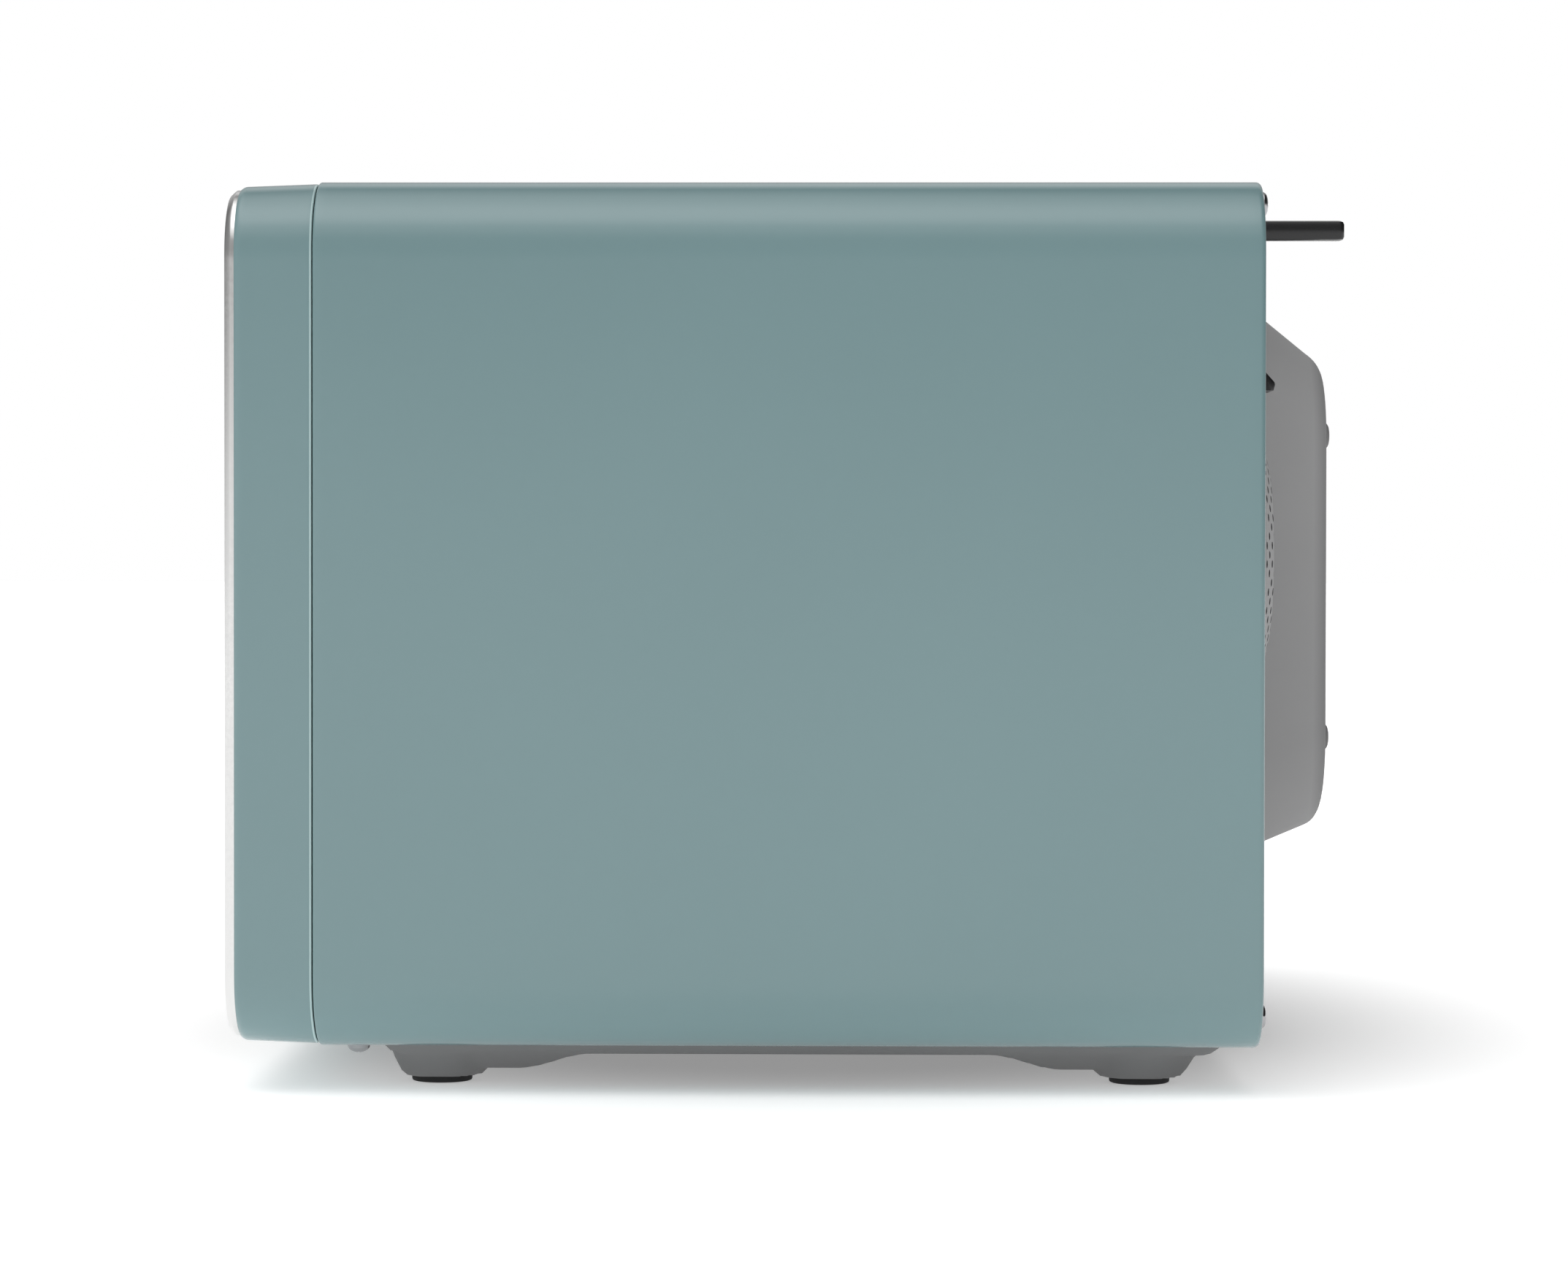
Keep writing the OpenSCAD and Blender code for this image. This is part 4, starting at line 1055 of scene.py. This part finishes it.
def cavity():
    """The enamelled oven box: rounded corners, a shallow dish in the back wall, lamp and vapour holes."""
    lo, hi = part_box("cavity_liner")
    wall = 1 * MM
    x0, x1, z0, z1 = lo.x + wall, hi.x - wall, lo.z + wall, hi.z - wall
    back = 142 * MM
    depth = hi.y - wall - back
    corner = 6 * MM
    bend = 5 * MM
    tight = 1.5 * MM

    def ring(y, inset, radius):
        return at_y(rect_path(x0 + inset, x1 - inset, z0 + inset, z1 - inset, radius, 8, 1 * MM), y)

    def dish_ring(deep, share, grow=0.0, radius=29 * MM):
        left, right = (-194 + 17 * share) * MM - grow, (72 - 17 * share) * MM + grow
        low, high = (93 + 16 * share) * MM - grow, (241 - 22 * share) * MM + grow
        return at_y(rect_path(left, right, low, high, radius - 5 * share * MM, 8, 1 * MM), back + deep)

    rings = [ring(lo.y, 0, corner), ring(back - bend - 1 * MM, 0, corner)]
    for i in range(6):
        t = math.radians(18 * i)
        inset = bend * (1 - math.cos(t))
        rings.append(ring(back - bend + bend * math.sin(t), inset, max(corner - inset, tight)))
    rings.append(ring(back, bend + 2 * MM, tight))
    rings += [dish_ring(0, 0, 3 * MM, 32 * MM), dish_ring(0.6 * MM, 0, 1 * MM, 30 * MM)]
    rings += [dish_ring(depth * share, share) for share in (0.08, 0.3, 0.6, 0.85)]
    for i in range(1, 6):
        t = math.radians(18 * i)
        rings.append(dish_ring(depth * (0.85 + 0.15 * math.sin(t)), 0.85 + 0.35 * (1 - math.cos(t))))
    liner = loft("cavity_pressing", rings)
    close_back(liner, back, 2, -1)
    apply_modifier(liner, "SOLIDIFY", thickness=0.9 * MM, offset=-1)
    hole_r, cutter_h = 1.3 * MM, 8 * MM
    pitch = 5 * MM
    lamp_pitch = 3.6 * MM
    lamp = sum(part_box("lamp_holder"), Vector()) / 2
    turn = sum(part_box("glass_tray"), Vector()) / 2
    side_holes = [(x1, lamp.y + i * lamp_pitch, lamp.z + j * lamp_pitch) for i in range(-2, 3)
                  for j in range(-2, 3) if abs(i) + abs(j) < 4]
    side_holes += [(x1, -110 * MM + i * pitch, 222 * MM + j * pitch) for i in range(12) for j in range(3)]
    roof_holes = [(-190 * MM + i * pitch, 60 * MM + j * pitch, z1) for i in range(12) for j in range(4)]
    cut(liner, hole_field(side_holes, hole_r, cutter_h, math.pi / 2, "Y"))
    cut(liner, hole_field(roof_holes, hole_r, cutter_h))
    cut(liner, hole_field([(turn.x, turn.y, z0)], 5 * MM, cutter_h, segments=32))
    dress(liner, enamel, "cabinet", "cavity_liner")


cavity()


def screen():
    """A perforated sheet behind the door glass: a tile with one round hole, repeated on a square grid."""
    lo, hi = screen_lo, screen_hi
    pitch = 3.4 * MM
    half = pitch / 2
    hole_r = 1.2 * MM
    nx = int((hi.x - lo.x - 2 * SCREEN_BORDER) / pitch)
    nz = int((hi.z - lo.z - 2 * SCREEN_BORDER) / pitch)
    x0, z0 = (lo.x + hi.x - nx * pitch) / 2, (lo.z + hi.z - nz * pitch) / 2
    x1, z1 = x0 + nx * pitch, z0 + nz * pitch
    tile = [(half, 0), (half, half), (0, half), (-half, half), (-half, 0), (-half, -half), (0, -half),
            (half, -half)]
    hole = [(hole_r * math.cos(math.tau * k / 8), hole_r * math.sin(math.tau * k / 8)) for k in range(8)]
    bm = bmesh.new()

    def face(*points):
        bm.faces.new([bm.verts.new(point) for point in points])

    for i in range(nx):
        for j in range(nz):
            cx, cz = x0 + (i + 0.5) * pitch, z0 + (j + 0.5) * pitch
            skin(bm, [[bm.verts.new((cx + u, y, cz + v)) for u, v in shape]
                      for shape, y in ((tile, lo.y), (hole, lo.y), (hole, hi.y), (tile, hi.y))])
    border = ((lo.x, x0, lo.z, hi.z), (x1, hi.x, lo.z, hi.z), (x0, x1, lo.z, z0), (x0, x1, z1, hi.z))
    for y in (lo.y, hi.y):
        for a, b, c, d in border:
            face((a, y, c), (b, y, c), (b, y, d), (a, y, d))
    edge = [(lo.x, lo.z), (hi.x, lo.z), (hi.x, hi.z), (lo.x, hi.z)]
    for (a, c), (b, d) in zip(edge, edge[1:] + edge[:1]):
        face((a, lo.y, c), (b, lo.y, d), (b, hi.y, d), (a, hi.y, c))
    dress(finish_mesh("door_mesh_sheet", bm), dark_enamel, "door", "door_screen")


screen()


# ---- floor, light and camera ----

def stage_floor():
    """A pale table with a painted glow, weaker under the oven: painted light and painted shade that keep its
    shadows soft and light.
    """
    bm = bmesh.new()
    bmesh.ops.create_grid(bm, x_segments=1, y_segments=1, size=30)
    floor = finish_mesh("floor", bm)
    material, tree, shader = new_material("floor_white_painted_glow", Base_Color=grey(0.8), Roughness=1.0,
                                          Emission_Color=grey(1))
    place = add_node(tree, "TexCoord", "Object")
    reach = add_node(tree, "VectorMath", "Vector", {0: place}, {1: (3.3, 4, 1)}, operation="MULTIPLY")
    away = add_node(tree, "VectorMath", "Value", {0: reach}, operation="LENGTH")
    # Painted light: the glow is weakest near the oven, a painted shade that softens and lightens its
    # shadows.
    share = add_node(tree, "MapRange", "Result", {"Value": away},
                     {"From Min": 0.5, "From Max": 1.2, "To Min": 0.24, "To Max": 0.58},
                     interpolation_type="SMOOTHSTEP")
    tree.links.new(share, shader.inputs["Emission Strength"])
    set_material(floor, material)


def stage_world():
    """White to the camera. As a light, bright overhead and dim near the horizon, with a pale wall behind."""
    world = bpy.data.worlds.new("studio")
    bpy.context.scene.world = world
    world.use_nodes = True
    tree = world.node_tree
    place = add_node(tree, "TexCoord", "Generated")
    levels = ((0.0, 0.26), (0.02, 0.24), (0.062, 0.08), (0.42, 0.1), (0.7, 0.33), (0.85, 0.7), (0.95, 0.88),
              (1.0, 0.88))
    height = add_node(tree, "SeparateXYZ", "Z", {"Vector": place})
    heights = ramp_of(tree, height, *((position, grey(value)) for position, value in levels))

    def towards(direction, start, end, low, high):
        """A value that grows from low to high as a ray turns towards a direction."""
        facing = add_node(tree, "VectorMath", "Value", {0: place}, {1: direction}, operation="DOT_PRODUCT")
        return add_node(tree, "MapRange", "Result", {"Value": facing},
                        {"From Min": start, "From Max": end, "To Min": low, "To Max": high})

    key_light = towards((0.75, -0.65, 0), -0.4, 1, 0.25, 5)
    back_wall = towards((-1, 0, 0), 0.6, 0.9, 0, 5)
    strength = add_node(tree, "Math", "Value", {0: key_light, 1: back_wall}, operation="ADD")
    light = tree.nodes["Background"]
    tree.links.new(heights, light.inputs["Color"])
    tree.links.new(strength, light.inputs["Strength"])
    seen = add_node(tree, "LightPath", "Is Camera Ray")
    white = add_node(tree, "Background", "Background", values={"Color": grey(1)})
    shown = add_node(tree, "MixShader", "Shader", {"Fac": seen, 1: light.outputs["Background"], 2: white})
    tree.links.new(shown, tree.nodes["World Output"].inputs["Surface"])


def stage_camera():
    """A long lens level with the oven's right-hand side, turned a degree towards its front."""
    turn = math.radians(1.05)
    tilt = math.radians(0.94)
    roll = 0.0013
    forward = Vector((-math.cos(tilt) * math.cos(turn), -math.cos(tilt) * math.sin(turn), -math.sin(tilt)))
    right = forward.cross(Vector((0, 0, 1))).normalized()
    up = right.cross(forward)
    right, up = (right * math.cos(roll) + up * math.sin(roll), up * math.cos(roll) - right * math.sin(roll))
    lens = bpy.data.cameras.new("camera")
    lens.sensor_width = 36
    lens.lens = 107.75
    lens.clip_end = 100
    camera = bpy.data.objects.new("camera", lens)
    bpy.context.scene.collection.objects.link(camera)
    camera.matrix_world = Matrix((right, up, -forward)).transposed().to_4x4()
    camera.location = (case_hi.x + 1.5, 23.5 * MM, 173.6 * MM)
    bpy.context.scene.camera = camera


stage_floor()
stage_world()
stage_camera()
bpy.context.scene.view_settings.view_transform = "Standard"
